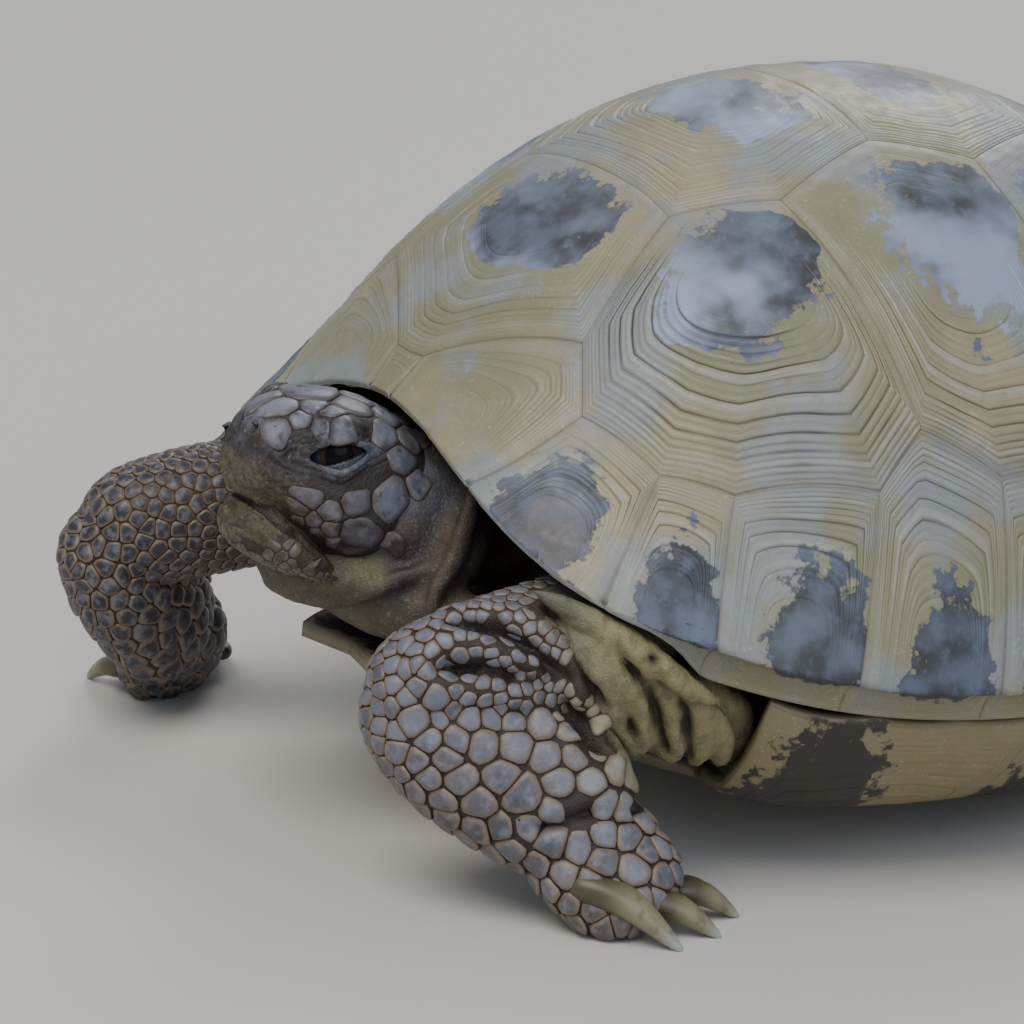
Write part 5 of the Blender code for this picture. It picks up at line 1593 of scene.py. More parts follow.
@dataclass(frozen=True)
class ScaleKeratin:
    """Thin keratin of single scales, worn pale at the rims.

    It shows slate or olive in the middle of each scale and tan round its edge, and
    painted shade, near black, on its wall down in the gaps.
    """

    name: str = "scale_keratin_worn_at_rims"
    rim: str = "#7A6A59"
    # Near black: grime patches, and painted shade on each scale's wall and underside.
    root: str = "#231A13"
    bloom: str = "#8A8E9C"
    rim_share: float = 0.82
    grime: float = 0.35
    roughness: float = 0.44
    tones: tuple[float, float] = (0.80, 1.75)

    def build(self) -> bpy.types.Material:
        """Make the material's nodes."""
        look = Finish(self.name)
        # Cloudy bloom 1.5 mm across, stains 2 mm across and fine speckle 0.4 mm across.
        cloud = look.noise(700.0, 4.0)
        patch = look.noise(430.0, 5.0, Roughness=0.65)
        speckle = look.noise(2600.0, 3.0)
        rim = look.read("rim")
        lift = look.stretch(look.read("tone"), -1.0, 1.0, *self.tones)
        base = add_node(look.tree, "HueSaturation", {
            "Color": look.read("hide", "Color"), "Value": lift, "Saturation": 1.0}).outputs[0]
        base = look.mix(base, self.bloom, look.ramp(cloud, 0.44, 0.70, 0.40))
        base = look.mix(base, self.root, look.ramp(patch, 0.52, 0.70, self.grime))
        edge = look.math("ADD", rim, look.math("MULTIPLY_ADD", cloud, 0.34, -0.17))
        base = look.mix(base, self.rim, look.ramp(edge, 0.55, 0.93, self.rim_share))
        # Painted shade: the wall and underside of each scale, down in the gaps, are near black.
        base = look.mix(base, self.root, look.ramp(rim, 0.985, 1.02, 0.9))
        base = look.mix(base, self.bloom, look.ramp(speckle, 0.60, 0.76, 0.22))
        return look.done(base, self.roughness, look.math("ADD", cloud, speckle), 0.35, 0.00012)


# --- The skin ----------------------------------------------------------------
class Skin:
    """One skin over head, neck, limbs, tail and trunk."""

    depth = 0.0004
    head_voxel = 0.00034
    body_voxel = 0.00070
    hidden_share = 0.30
    name = "skin"
    # Height, place back and up the head's side, half width, and where its flank starts, in mm.
    swellings = {"temple_hollow": (-0.5, 20.0, -0.5, 3.6, 9.0),
                 "jaw_muscle": (0.55, 21.5, -6.0, 3.4, 9.0),
                 "hollow_before_eye": (-0.45, 5.6, -1.0, 2.4, 5.0)}

    def head_island(self) -> bpy.types.Mesh:
        """Skull, lids and jaw as one closed form with open lids."""
        form = HEAD
        shift = form.start - form.jaw_start
        jaw_top = tuple((back + shift, high + 0.0018) for back, high in form.bottom)
        skull = form.part(form.start, form.length, (form.half_width, form.top, form.bottom),
                          6.0, self.depth)
        jaw = form.part(form.jaw_start, form.jaw_length,
                        (form.jaw_half_width, jaw_top, form.jaw_bottom), 5.0, self.depth)
        meshes = [ball(96, 72, lambda s, a: form.out(skull(s, a))),
                  ball(72, 48, lambda s, a: form.out(jaw(s, a)))]
        for side in (1.0, -1.0):
            centre = form.out(np.array([[form.eye[0] * side, form.eye[1], form.eye[2]]]))[0]
            radius = form.eye_radius + 0.00055
            meshes.append(ball(48, 32, lambda s, a, c=centre, r=radius: c + r * round_way(s, a)))
        whole = with_modifier(joined(meshes), "REMESH", mode="VOXEL", voxel_size=self.head_voxel)
        whole = with_modifier(whole, "SMOOTH", factor=0.5, iterations=6)
        for side in (1.0, -1.0):
            cutter = linked("cutter", form.lid_cutter(side))
            whole = with_modifier(whole, "BOOLEAN", operation="DIFFERENCE", solver="EXACT",
                                  object=cutter)
            bpy.data.objects.remove(cutter)
        return self._sculpt_head(whole)

    def _sculpt_head(self, mesh: bpy.types.Mesh) -> bpy.types.Mesh:
        """Press mouth, nostrils, lids, ear and wrinkles into the head."""
        form = HEAD
        points = positions(mesh)
        own = form.back(points) / MM
        wide, back, high = np.abs(own[:, 0]), own[:, 1], own[:, 2]
        mouth_line = np.interp(back - form.start / MM, [k / MM for k, _ in form.bottom],
                               [v / MM for _, v in form.bottom])
        over_mouth = high - mouth_line + 0.25 * np.sin(back * 0.9) * (back < 12.0)
        front = smooth_step(19.6, 17.6, back)
        change = -0.75 * hill(over_mouth, 0.0, 0.36) * front
        change += -0.35 * hill(over_mouth, -1.7, 0.9) * smooth_step(12.0, 8.0, back)
        change += 0.42 * hill(over_mouth, 1.0, 0.62) * smooth_step(10.0, 6.0, back)
        change += 0.25 * hill(over_mouth, 1.2, 0.8) * smooth_step(6.0, 10.0, back) * front
        nostril = np.hypot(wide - 1.9, (high - 0.2) * 0.9)
        change += (-1.1 * hill(nostril, 0.0, 0.62) + 0.25 * hill(nostril, 1.15, 0.4)) * (back < 4.0)
        brow_line = high - (4.7 + 0.11 * (back - 4.5))
        brow = smooth_step(3.2, 6.0, back) * smooth_step(19.0, 15.5, back) * (wide > 6.0)
        change += 0.75 * hill(brow_line, 0.0, 1.0) * brow
        change += -0.35 * hill(brow_line, -1.6, 0.6) * brow
        for side in (1.0, -1.0):
            share = form.lid_share(own * MM, side)
            change += 0.32 * hill(share, 1.32, 0.22) - 0.42 * hill(share, 1.85, 0.14)
            change += -0.28 * hill(share, 2.35, 0.13) - 0.15 * hill(share, 2.8, 0.12)
        ear = np.hypot(back - 17.6, high + 9.5)
        change += (-0.35 * smooth_step(2.9, 2.4, ear) + 0.28 * hill(ear, 3.25, 0.35)) * (wide > 9)
        for rise, at_back, at_height, width, least_wide in self.swellings.values():
            swelling = hill(np.hypot(back - at_back, high - at_height), 0.0, width)
            change += rise * swelling * (wide > least_wide)
        bare = smooth_step(9.5, 7.0, back) * smooth_step(3.0, 0.0, high)
        rough = (0.04 + 0.24 * bare) * (ripple(own, 2.6, 3, 3) + 0.6 * ripple(own, 0.9, 4, 2))
        change += rough
        moved = points + vertex_normals(mesh) * (change * MM)[:, None]
        inner = form.nearest_lids(own * MM)
        moved[inner < 1.02] = points[inner < 1.02]
        set_positions(mesh, moved)
        # Painted shade along the mouth line, in the nostrils and round the lids.
        hollow = hill(over_mouth, 0.0, 0.5) * front + hill(nostril, 0.0, 0.8) * (back < 4.0)
        self.head_painted_shade = np.clip(hollow + 0.6 * smooth_step(1.15, 0.95, inner), 0.0, 1.0)
        return mesh

    def body_island(self) -> bpy.types.Mesh:
        """Trunk, limbs, neck, tail and loose folds as one closed form."""
        meshes = [ball(96, 64, TrunkForm().rule), NECK.mesh(self.depth), TAIL.mesh(self.depth)]
        for leg in LEGS:
            meshes += [length.mesh(self.depth) for length in leg.lengths]
        meshes += [fold.mesh() for fold in [*FOLDS, THROAT, COLLAR, CHEST]]
        whole = with_modifier(joined(meshes), "REMESH", mode="VOXEL", voxel_size=self.body_voxel)
        whole = with_modifier(whole, "SMOOTH", factor=0.5, iterations=3)
        points = positions(whole)
        level = points - SHELL.centre
        _, reach = SHELL.reach_of(level[:, 0], level[:, 1])
        hidden = smooth_step(0.86, 0.80, reach) * np.clip(level[:, 2] / 0.012 - 0.6, 0.0, 1.0)
        whole = with_modifier(whole, "DECIMATE", weights=hidden, ratio=self.hidden_share,
                              vertex_group="part")
        points = positions(whole)
        level = (points - FLESH_SHIFT) / MM
        change = 0.09 * ripple(level * np.array([1.0, 1.6, 0.5]), 2.8, 9, 2)
        # Painted shade along every crease.
        hollow = np.zeros(len(points))
        for creases, sides in ((LIMB_CREASES, (1.0,)), (ARMPIT_CREASES, (1.0, -1.0))):
            for crease in creases:
                wander = 0.35 * ripple(level, 5.0, 12, 2)
                near = crease.nearness(level + wander[:, None], sides)
                change += crease.depth * (0.24 * hill(near, 2.0, 1.0) - hill(near, 0.0, 0.62))
                hollow = np.maximum(hollow, hill(near, 0.0, 0.95))
        points += vertex_normals(whole) * (change * MM)[:, None]
        self.body_hollow = hollow
        points[:, 2] = np.maximum(points[:, 2], 0.00025)
        set_positions(whole, points)
        return whole

    def build(self) -> None:
        """Make the skin and its colours, and hide the nodes it stands for."""
        head, body = self.head_island(), self.body_island()
        count = len(head.vertices)
        mesh = joined([head, body])
        mesh = with_modifier(mesh, "TRIANGULATE")
        points = positions(mesh)
        set_values(mesh, "hide", MARKINGS.of(points))
        set_values(mesh, "grime", np.where(np.arange(len(points)) < count, 0.72, 0.36))
        # Painted shade in the creases, along the mouth line, in the nostrils and round the lids.
        hollow = np.zeros(len(points))
        hollow[:count], hollow[count:] = self.head_painted_shade, self.body_hollow
        set_values(mesh, "hollow", hollow)
        made = mesh_object(self.name, mesh, LivingHide().build())
        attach(made, "root")
        flesh = ["trunk", "head", "jaw", "neck", "tail"]
        flesh += [f"{leg.name}_{part}" for leg in LEGS for part in ("upper", "lower", "foot")]
        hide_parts(*flesh)
        self.mesh, self.head_count, self.hollow = mesh, count, hollow
        LOG.info("skin: %d triangles (head %d vertices)", len(mesh.polygons), count)


# --- Scales over the skin ----------------------------------------------------
@dataclass(frozen=True)
class Lie:
    """How the scales of one region are cut and laid, in metres."""

    height: float = 0.00042
    gap: float = 0.00022
    tilt: float = 0.25
    crown: float = 0.30
    corners: int = 16
    spacing: float = 0.80
    reach: float = 1.5


class Coat:
    """Lays scales as thin domed plates, each in its own cell of the skin."""

    root_depth = 0.00035
    least_share = 1.1
    steepest = 1.05
    most_samples = 26000
    samples_per_scale = 14
    first_corners = 12
    rounding = 0.14
    usual_half = 0.0018
    probe_height = 0.0025
    probe_reach = 0.006
    floor_gap = 0.0001
    bake_margin = 0.004
    bake_spread = 0.992
    bake_patch = 0.0015
    profile = ((0.0, 1.0), (0.62, 0.97), (0.90, 0.80), (1.0, 0.15), (0.985, -1.0), (0.0, -1.0))

    def __init__(self, skin: Skin) -> None:
        """Read the skin that carries the scales."""
        mesh = skin.mesh
        self.points = positions(mesh)
        corners = np.empty(len(mesh.polygons) * 3, dtype=np.int32)
        mesh.polygons.foreach_get("vertices", corners)
        self.faces = corners.reshape(-1, 3)
        self.tree = BVHTree.FromPolygons(self.points.tolist(), self.faces.tolist())
        a, b, c = (self.points[self.faces[:, i]] for i in range(3))
        cross = np.cross(b - a, c - a)
        self.area = np.linalg.norm(cross, axis=1) / 2.0
        self.normal = units(cross)
        self.centre = (a + b + c) / 3.0
        self.is_head = self.faces[:, 0] < skin.head_count
        self.covered = np.zeros(len(self.faces), dtype=bool)

    def _sample(self, mask: np.ndarray, count: int,
                rng: np.random.Generator) -> tuple[np.ndarray, np.ndarray]:
        """Spread points evenly over the chosen faces, with their normals."""
        chosen = np.flatnonzero(mask)
        weight = self.area[chosen] / self.area[chosen].sum()
        picked = chosen[rng.choice(len(chosen), count, p=weight)]
        u, v = rng.random(count), rng.random(count)
        over = u + v > 1.0
        u[over], v[over] = 1.0 - u[over], 1.0 - v[over]
        a, b, c = (self.points[self.faces[picked, i]] for i in range(3))
        return a + (b - a) * u[:, None] + (c - a) * v[:, None], self.normal[picked]

    def _scatter(self, spots: np.ndarray, sizes: np.ndarray, spacing: float,
                 fixed: int) -> np.ndarray:
        """Choose spots no closer to each other than their sizes allow."""
        tree = tree_of(spots)
        alive = np.ones(len(spots), dtype=bool)
        kept = []
        for index in range(len(spots)):
            if not alive[index]:
                continue
            kept.append(index)
            for _, other, apart in tree.find_range(spots[index], sizes[index] * 3.0):
                if other > index and apart < spacing * (sizes[index] + sizes[other]):
                    alive[other] = other < fixed
        return np.array(kept)

    def _settle(self, seeds: np.ndarray, sizes: np.ndarray, spots: np.ndarray,
                fixed: int) -> np.ndarray:
        """Move every free seed to the middle of its own cell, once."""
        tree = tree_of(seeds)
        total, count = np.zeros_like(seeds), np.zeros(len(seeds))
        for spot in spots:
            near = tree.find_n(spot, 5)
            best = min(near, key=lambda item: item[2] / sizes[item[1]])[1]
            total[best] += spot
            count[best] += 1
        moved = np.where(count[:, None] > 0, total / np.maximum(count, 1)[:, None], seeds)
        moved[:fixed] = seeds[:fixed]
        return moved

    def _outline(self, seed: int, near: list, seeds: np.ndarray, sizes: np.ndarray,
                 axes: tuple[np.ndarray, np.ndarray], lie: Lie) -> np.ndarray:
        """The cell of one seed: its polygon, drawn in by the gap and rounded."""
        size = sizes[seed]
        turn = np.arange(self.first_corners) / self.first_corners * math.tau
        shape = [(x, y) for x, y in zip(np.cos(turn) * size * lie.reach,
                                         np.sin(turn) * size * lie.reach)]
        for _, other, _ in near:
            if other == seed:
                continue
            way = seeds[other] - seeds[seed]
            x, y = float(way @ axes[0]), float(way @ axes[1])
            apart = math.hypot(x, y)
            if apart < size * 0.2:
                continue
            x, y = x / apart, y / apart
            limit = apart * size / (size + sizes[other]) - lie.gap / 2.0
            clipped = []
            for (ax, ay), (bx, by) in zip(shape, shape[1:] + shape[:1]):
                da, db = ax * x + ay * y - limit, bx * x + by * y - limit
                if da <= 0.0:
                    clipped.append((ax, ay))
                if da * db < 0.0:
                    share = da / (da - db)
                    clipped.append((ax + (bx - ax) * share, ay + (by - ay) * share))
            if len(clipped) < 3:
                return np.zeros((0, 2))
            shape = clipped
        made = np.array(shape)
        after = np.roll(made, -1, axis=0)
        area = abs(float((made[:, 0] * after[:, 1] - made[:, 1] * after[:, 0]).sum())) / 2.0
        if area < self.least_share * size ** 2:
            return np.zeros((0, 2))
        for _ in range(2):
            after = np.roll(made, -1, axis=0)
            most, least = 1.0 - self.rounding, self.rounding
            made = np.stack([made * most + after * least, made * least + after * most],
                            axis=1).reshape(-1, 2)
        closed = np.vstack([made, made[:1]])
        run = np.concatenate([[0.0], np.cumsum(np.linalg.norm(np.diff(closed, axis=0), axis=1))])
        stops = np.linspace(0.0, run[-1], lie.corners, endpoint=False)
        return np.stack([np.interp(stops, run, closed[:, i]) for i in range(2)], axis=1)

    def _button(self, corners: int) -> tuple[np.ndarray, np.ndarray, np.ndarray, list]:
        """One scale's template: spoke index, share and height of each vertex, and faces."""
        bm = spun(((share, 0.0, height) for share, height in self.profile), corners)
        bmesh.ops.recalc_face_normals(bm, faces=bm.faces[:])
        bmesh.ops.triangulate(bm, faces=bm.faces[:])
        places = np.array([vert.co[:] for vert in bm.verts])
        faces = np.array([[vert.index for vert in face.verts] for face in bm.faces])
        bm.free()
        index = np.round(np.arctan2(places[:, 1], places[:, 0]) / math.tau * corners)
        share = np.hypot(places[:, 0], places[:, 1])
        return index.astype(int) % corners, share, places[:, 2], faces

    def lay(self, name: str, mask: np.ndarray, size_of: Callable[[np.ndarray], np.ndarray],
            toward: Callable[[np.ndarray], np.ndarray],
            unwrap: Callable[[np.ndarray], np.ndarray], lie: Lie, seed: int,
            material: bpy.types.Material,
            marks: Sequence[tuple[np.ndarray, float]] = ()) -> None:
        """Cover a region with scales.

        Args:
            name: Name of the finished piece.
            mask: Which faces of the skin carry scales.
            size_of: Half size of a scale at each place.
            toward: Direction in which the free edges point at each place.
            unwrap: Place of each root on a flat unwrap of the region, from 0 to 1.
            lie: How the scales are cut and laid.
            seed: Number that picks the pattern.
            material: The scales' finish.
            marks: Scales that stand at set places, with their half sizes.
        """
        rng = np.random.default_rng(seed)
        self.covered |= mask
        self.material = material
        area = self.area[mask].sum()
        typical = np.median(size_of(self.centre[mask]))
        count = int(min(self.most_samples, self.samples_per_scale * area / typical ** 2))
        spots, _ = self._sample(mask, count, rng)
        sizes = size_of(spots)
        if marks:
            spots = np.vstack([np.array([place for place, _ in marks]), spots])
            sizes = np.concatenate([[size for _, size in marks], sizes])
        kept = self._scatter(spots, sizes, lie.spacing, len(marks))
        seeds, halves = spots[kept], sizes[kept]
        for _ in range(2):
            seeds = self._settle(seeds, halves, spots[::2], len(marks))
            halves = np.concatenate([halves[:len(marks)], size_of(seeds[len(marks):])])
        found = [self.tree.find_nearest(spot) for spot in seeds]
        seeds = np.array([item[0] for item in found])
        tree = tree_of(seeds)
        normals = self._smooth_normals(seeds, halves)
        lean = toward(seeds)
        first = units(lean - normals * np.einsum("ij,ij->i", lean, normals)[:, None])
        second = np.cross(normals, first)
        outlines, kept = [], []
        for index in range(len(seeds)):
            near = tree.find_n(seeds[index], 17)
            shape = self._outline(index, near, seeds, halves, (first[index], second[index]), lie)
            if len(shape):
                outlines.append(shape)
                kept.append(index)
        self._raise(name, np.array(outlines), seeds[kept], normals[kept], first[kept],
                    second[kept], halves[kept], unwrap, lie, rng)

    def _smooth_normals(self, seeds: np.ndarray, halves: np.ndarray) -> np.ndarray:
        """Normal of the skin at each seed, averaged over the scale's footprint."""
        made = []
        for spot, half in zip(seeds, halves):
            near = self.tree.find_nearest_range(Vector(spot), half * 0.8)[:60]
            total = sum((item[1] for item in near), Vector((0.0, 0.0, 0.0)))
            if total.length < 1e-6:
                total = self.tree.find_nearest(spot)[1]
            made.append(total.normalized()[:])
        return np.array(made)

    def _raise(self, name: str, outlines: np.ndarray, seeds: np.ndarray, normals: np.ndarray,
               first: np.ndarray, second: np.ndarray, halves: np.ndarray,
               unwrap: Callable[[np.ndarray], np.ndarray], lie: Lie,
               rng: np.random.Generator) -> None:
        """Turn outlines into domed plates joined in one mesh."""
        spoke, share, height, faces = self._button(lie.corners)
        middle = outlines.mean(axis=1)
        world = (seeds[:, None] + first[:, None] * outlines[..., :1]
                 + second[:, None] * outlines[..., 1:])
        drop = np.zeros(world.shape[:2])
        for i in range(len(world)):
            normal = Vector(normals[i])
            for k in range(world.shape[1]):
                start = Vector(world[i, k]) + normal * self.probe_height
                hit = self.tree.ray_cast(start, -normal, self.probe_reach)
                drop[i, k] = self.probe_height - hit[3] if hit[0] is not None else -0.0002
        flush = np.ptp(drop, axis=1) < self.steepest * halves
        outlines, drop, middle = outlines[flush], drop[flush], middle[flush]
        seeds, normals, halves = seeds[flush], normals[flush], halves[flush]
        first, second = first[flush], second[flush]
        drop = np.clip(drop, -halves[:, None] * 0.60, halves[:, None] * 0.35)
        flat = middle[:, None] + (outlines[:, spoke] - middle[:, None]) * share[None, :, None]
        lowered = drop[:, spoke] * (share ** 2)[None]
        tall = lie.height * np.clip(halves / self.usual_half, 0.45, 1.5)
        tall = tall * rng.uniform(0.85, 1.15, len(halves))
        rise = np.where(height > 0.0, tall[:, None] * height[None], -self.root_depth)
        dome = lie.crown * halves[:, None] * 0.25 * (1.0 - share ** 2)[None] * (height > 0.0)
        slope = lie.tilt * tall[:, None] * flat[..., 0] / halves[:, None] * (height > 0.0)
        lift = (lowered + rise + dome + slope)[..., None]
        verts = (seeds[:, None] + first[:, None] * flat[..., :1] + second[:, None] * flat[..., 1:]
                 + normals[:, None] * lift)
        verts[..., 2] = np.maximum(verts[..., 2], self.floor_gap)
        count = len(share)
        first_verts = (np.arange(len(seeds)) * count)[:, None, None]
        joined_faces = (faces[None] + first_verts).reshape(-1, 3)
        mesh = bpy.data.meshes.new(name)
        mesh.from_pydata(verts.reshape(-1, 3).tolist(), [], joined_faces.tolist())
        mesh.update()
        set_values(mesh, "rim", np.tile(np.where(height > 0.5, share, 1.03), len(seeds)))
        set_values(mesh, "tone", np.repeat(rng.uniform(-1.0, 1.0, len(seeds)), count))
        set_values(mesh, "hide", np.repeat(MARKINGS.of(seeds), count, axis=0))
        roots = self.bake_margin + self.bake_spread * unwrap(seeds)
        widest = np.abs(outlines).max(axis=(1, 2))[:, None, None] + 1e-9
        local = flat / widest * self.bake_patch
        places = (roots[:, None] + local).reshape(-1, 2)
        layer = mesh.uv_layers.new(name="OFBake")
        layer.data.foreach_set("uv", places[joined_faces.ravel()].astype(np.float32).ravel())
        made = mesh_object(name, mesh, self.material)
        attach(made, "root")
        LOG.info("%s: %d scales, %d triangles", name, len(seeds), len(mesh.polygons))


# Plates of the head: middle in its own frame and half size, in millimetres.
HEAD_PLATES = {
    "frontal": ((0.0, 9.5, 8.5), 3.6),
    "prefrontal": ((3.0, 3.5, 6.0), 2.4),
    "parietal": ((5.5, 14.0, 9.0), 2.8),
    "loreal": ((7.5, 5.0, 5.0), 1.9),
    "front_supraocular": ((12.0, 9.5, 7.0), 2.1),
    "rear_supraocular": ((12.0, 14.5, 7.5), 2.3),
    "postocular": ((13.5, 20.5, -2.5), 3.4),
    "rear_temporal": ((13.5, 24.5, -4.5), 2.0),
    "front_subocular": ((11.5, 9.0, -6.5), 1.7),
    "subocular": ((13.0, 15.5, -4.5), 2.3),
    "malar": ((12.5, 12.5, -8.0), 1.6),
    "tympanic": ((13.5, 17.5, -9.5), 3.0),
    "rear_tympanic": ((13.5, 23.5, -9.0), 1.8)}


def over_mouth(own: np.ndarray) -> np.ndarray:
    """Height in mm over the mouth line, at places in mm in the head's own frame."""
    return own[:, 2] - np.interp(own[:, 1], (1.0, 5.0, 11.0, 16.0, 20.0),
                                 (-9.8, -10.2, -12.2, -14.8, -16.0))


def jaw_plates() -> list[tuple[tuple[float, float, float], float]]:
    """Three plates along the jaw, each larger and lower than the one before it."""
    return [((11.5, 9.5 + 2.0 * step, -14.0 - 1.1 * step), 0.95 + 0.15 * step)
            for step in range(3)]


@dataclass(frozen=True)
class LargeScales:
    """Enlarged scales in staggered rows down the front of a length of a foreleg.

    They touch within a row, and grow smaller towards the row's ends.
    """

    first_row: float
    last_row: float
    rows: int
    across: int
    front: float
    half: float
    fall: float = 0.22

    def places(self, length: Length) -> Iterator[tuple[float, float, float]]:
        """Share of the run, degrees round the length and half size in mm of each scale."""
        for row in range(self.rows):
            run = self.first_row + (self.last_row - self.first_row) * row / (self.rows - 1)
            at = np.array([run])
            radius = float(curve(length.wide, at)[0] + curve(length.deep, at)[0]) / (2.0 * MM)
            step = math.degrees(2.1 * self.half / radius)
            count = self.across - row % 2
            for index in range(count):
                offset = index - (count - 1) / 2.0
                half = self.half * (1.0 - self.fall * abs(offset))
                yield run, self.front + step * offset, half


FOREARM_SCALES = LargeScales(0.24, 0.80, rows=4, across=3, front=100.0, half=2.5)
FOOT_SCALES = LargeScales(0.48, 0.84, rows=3, across=2, front=86.0, half=2.2)


class Hide:
    """All scale coats of the animal: head, legs and tail."""

    no_length = -1
    loose_skin = -2
    foot_reach = 1.2
    elbow = np.array([46.5, -81.0, 32.5])

    def __init__(self, coat: Coat) -> None:
        """Find which length of the body each face of the skin belongs to."""
        self.coat = coat
        self.keratin = ScaleKeratin().build()
        self.plates = ScaleKeratin("head_plate_keratin_worn_smooth", rim="#51453A", bloom="#7C8090",
                                   rim_share=0.55, grime=0.85, roughness=0.44,
                                   tones=(0.72, 1.42)).build()
        centre = coat.centre
        lengths = [(leg.name, length) for leg in LEGS for length in leg.lengths]
        lengths += [("neck", NECK), ("tail", TAIL)]
        best = np.full(len(centre), 1.35)
        self.part = np.full(len(centre), self.no_length)
        for index, (_, length) in enumerate(lengths):
            _, radii, _ = length.measure(centre)
            closer = (radii < best) & ~coat.is_head
            best[closer], self.part[closer] = radii[closer], index
        self.lengths = lengths
        for fold in FOLDS:
            _, radii, _ = fold.measure(centre)
            self.part[(radii < 1.25) & ~coat.is_head] = self.loose_skin
        level = centre - SHELL.centre
        _, reach = SHELL.reach_of(level[:, 0], level[:, 1])
        self.inside = (reach < 0.70) & (centre[:, 2] > 0.012)
        level = (centre - FLESH_SHIFT) / MM
        # Bare loose skin starts behind this line of the armpit: heights and places along Y.
        heights = (24.9, 29.6, 35.2, 38.1, 40.9, 44.4)
        border = (-66.2, -67.4, -69.8, -71.3, -72.5, -73.3)
        armpit = (np.abs(level[:, 0]) > 40.0) & (level[:, 1] < -30.0) & (level[:, 2] > 23.0)
        armpit &= level[:, 1] > np.interp(level[:, 2], heights, border) - 0.6
        self.part[armpit & ~coat.is_head] = self.loose_skin
        self.part[(near_limb_crease(level) < 0.50) & ~coat.is_head] = self.loose_skin

    def leg(self, leg: Leg, index: int) -> None:
        """Scales of one leg: the upper arm, then forearm and foot."""
        upper, lower, foot = leg.lengths
        fore = leg.name.startswith("fore")
        creased = index == 0
        centre = self.coat.centre
        open_air = (centre[:, 2] > 0.0012) | (self.coat.normal[:, 2] > -0.2)

        def small(points: np.ndarray) -> np.ndarray:
            """Small square scales that grow a little towards the elbow."""
            run, _, _ = upper.measure(points)
            return (0.00085 + 0.00050 * smooth_step(0.4, 1.0, run)) * (1.0 if fore else 1.35)

        def large(points: np.ndarray) -> np.ndarray:
            """Scales that grow down the outer side of the forearm."""
            run, _, _ = lower.measure(points)
            level = (points - FLESH_SHIFT) / MM
            base = 0.00130 + 0.00090 * smooth_step(0.05, 0.6, run)
            base = base * (1.0 - 0.40 * hill(near_limb_crease(level), 0.0, 1.8) * creased)
            if creased:
                base -= 0.0006 * hill(np.linalg.norm(level - self.elbow, axis=1), 0.0, 4.0)
            near_foot = foot.measure(points)
            return np.where(near_foot[1] < self.foot_reach, 0.00205 - 0.0005 * near_foot[0], base)

        def size_of(points: np.ndarray) -> np.ndarray:
            """Half size of a scale: small above the elbow, large below."""
            above = upper.measure(points)[1] < lower.measure(points)[1] + 0.1
            off_foot = foot.measure(points)[1] > self.foot_reach
            return np.where(above & off_foot, small(points), large(points))

        def unwrap(points: np.ndarray) -> np.ndarray:
            """Round the leg, and along its three lengths one after another."""
            found = [length.measure(points) for length in leg.lengths]
            nearest = np.argmin([item[1] for item in found], axis=0)
            run = np.choose(nearest, [item[0] for item in found])
            angle = np.choose(nearest, [item[2] for item in found])
            return np.stack([angle / math.tau + 0.5, (nearest + run) / 3.0], axis=1)

        def toward(points: np.ndarray) -> np.ndarray:
            """Down the leg towards the claws."""
            above = upper.measure(points)[1] < lower.measure(points)[1]
            return np.where(above[:, None], upper.axes(upper.measure(points)[0])[0],
                            lower.axes(lower.measure(points)[0])[0])

        mask = np.isin(self.part, np.arange(3) + index * 3) & ~self.inside & open_air
        self.coat.lay(leg.name + "_scales", mask, size_of, toward, unwrap,
                      Lie(height=0.00046, gap=0.00002, tilt=0.42, corners=14), 20 + index,
                      self.keratin, self._large_scales(leg) if fore else [])

    def _large_scales(self, leg: Leg) -> list[tuple[np.ndarray, float]]:
        """Where the largest scales of a foreleg stand."""
        side = math.copysign(1.0, leg.foot.spine[0][0])
        made = []
        for length, rows in ((leg.lower, FOREARM_SCALES), (leg.foot, FOOT_SCALES)):
            for run, angle, size in rows.places(length):
                share = np.array([math.acos(1.0 - 2.0 * run) / math.pi])
                spot = length.rule()(share, np.array([math.radians(angle * side)]))[0]
                made.append((np.array(self.coat.tree.find_nearest(spot)[0]), size * MM))
        return made

    def head(self) -> None:
        """Flat plates of the head: large on crown and temple, small on the jaw."""
        marks = []
        for place, size in [*HEAD_PLATES.values(), *jaw_plates()]:
            for side in (1.0, -1.0):
                if place[0] > 0.0 or side > 0.0:
                    level = np.array([[place[0] * side, place[1], place[2]]]) * MM
                    spot = self.coat.tree.find_nearest(HEAD.out(level)[0])[0]
                    marks.append((np.array(spot), size * MM))
        own = HEAD.back(self.coat.centre) / MM
        lids = HEAD.nearest_lids(own * MM)
        beak = (own[:, 1] < 8.5) & (own[:, 2] < 1.5 - 0.2 * own[:, 1]) & (own[:, 2] > -15.0)
        mouth = np.abs(over_mouth(own))
        beak |= (mouth < np.interp(own[:, 1], (7.0, 13.0), (1.5, 1.0))) & (own[:, 1] < 20.5)
        nose = (own[:, 1] < 3.5) & (np.abs(own[:, 0]) < 4.5) & (own[:, 2] < 3.0)
        mask = self.coat.is_head & (lids > 2.0) & ~beak & ~nose & (own[:, 1] < 30.5)

        def size_of(points: np.ndarray) -> np.ndarray:
            """Half size of the head's plates."""
            local = HEAD.back(points) / MM
            crown = smooth_step(3.0, 8.0, local[:, 2])
            jaw = smooth_step(-12.0, -15.0, local[:, 2])
            mouth = over_mouth(local)
            temple = smooth_step(14.0, 17.0, local[:, 1]) * smooth_step(-12.5, -9.0, local[:, 2])
            size = 1.60 + 0.85 * crown * (1.0 - temple) + 0.55 * temple - 0.75 * jaw
            return size * (1.0 - 0.45 * hill(mouth, 0.0, 3.2)) * MM

        def toward(points: np.ndarray) -> np.ndarray:
            """Backwards along the head."""
            return np.tile(HEAD.turn @ np.array([0.0, 1.0, 0.0]), (len(points), 1))

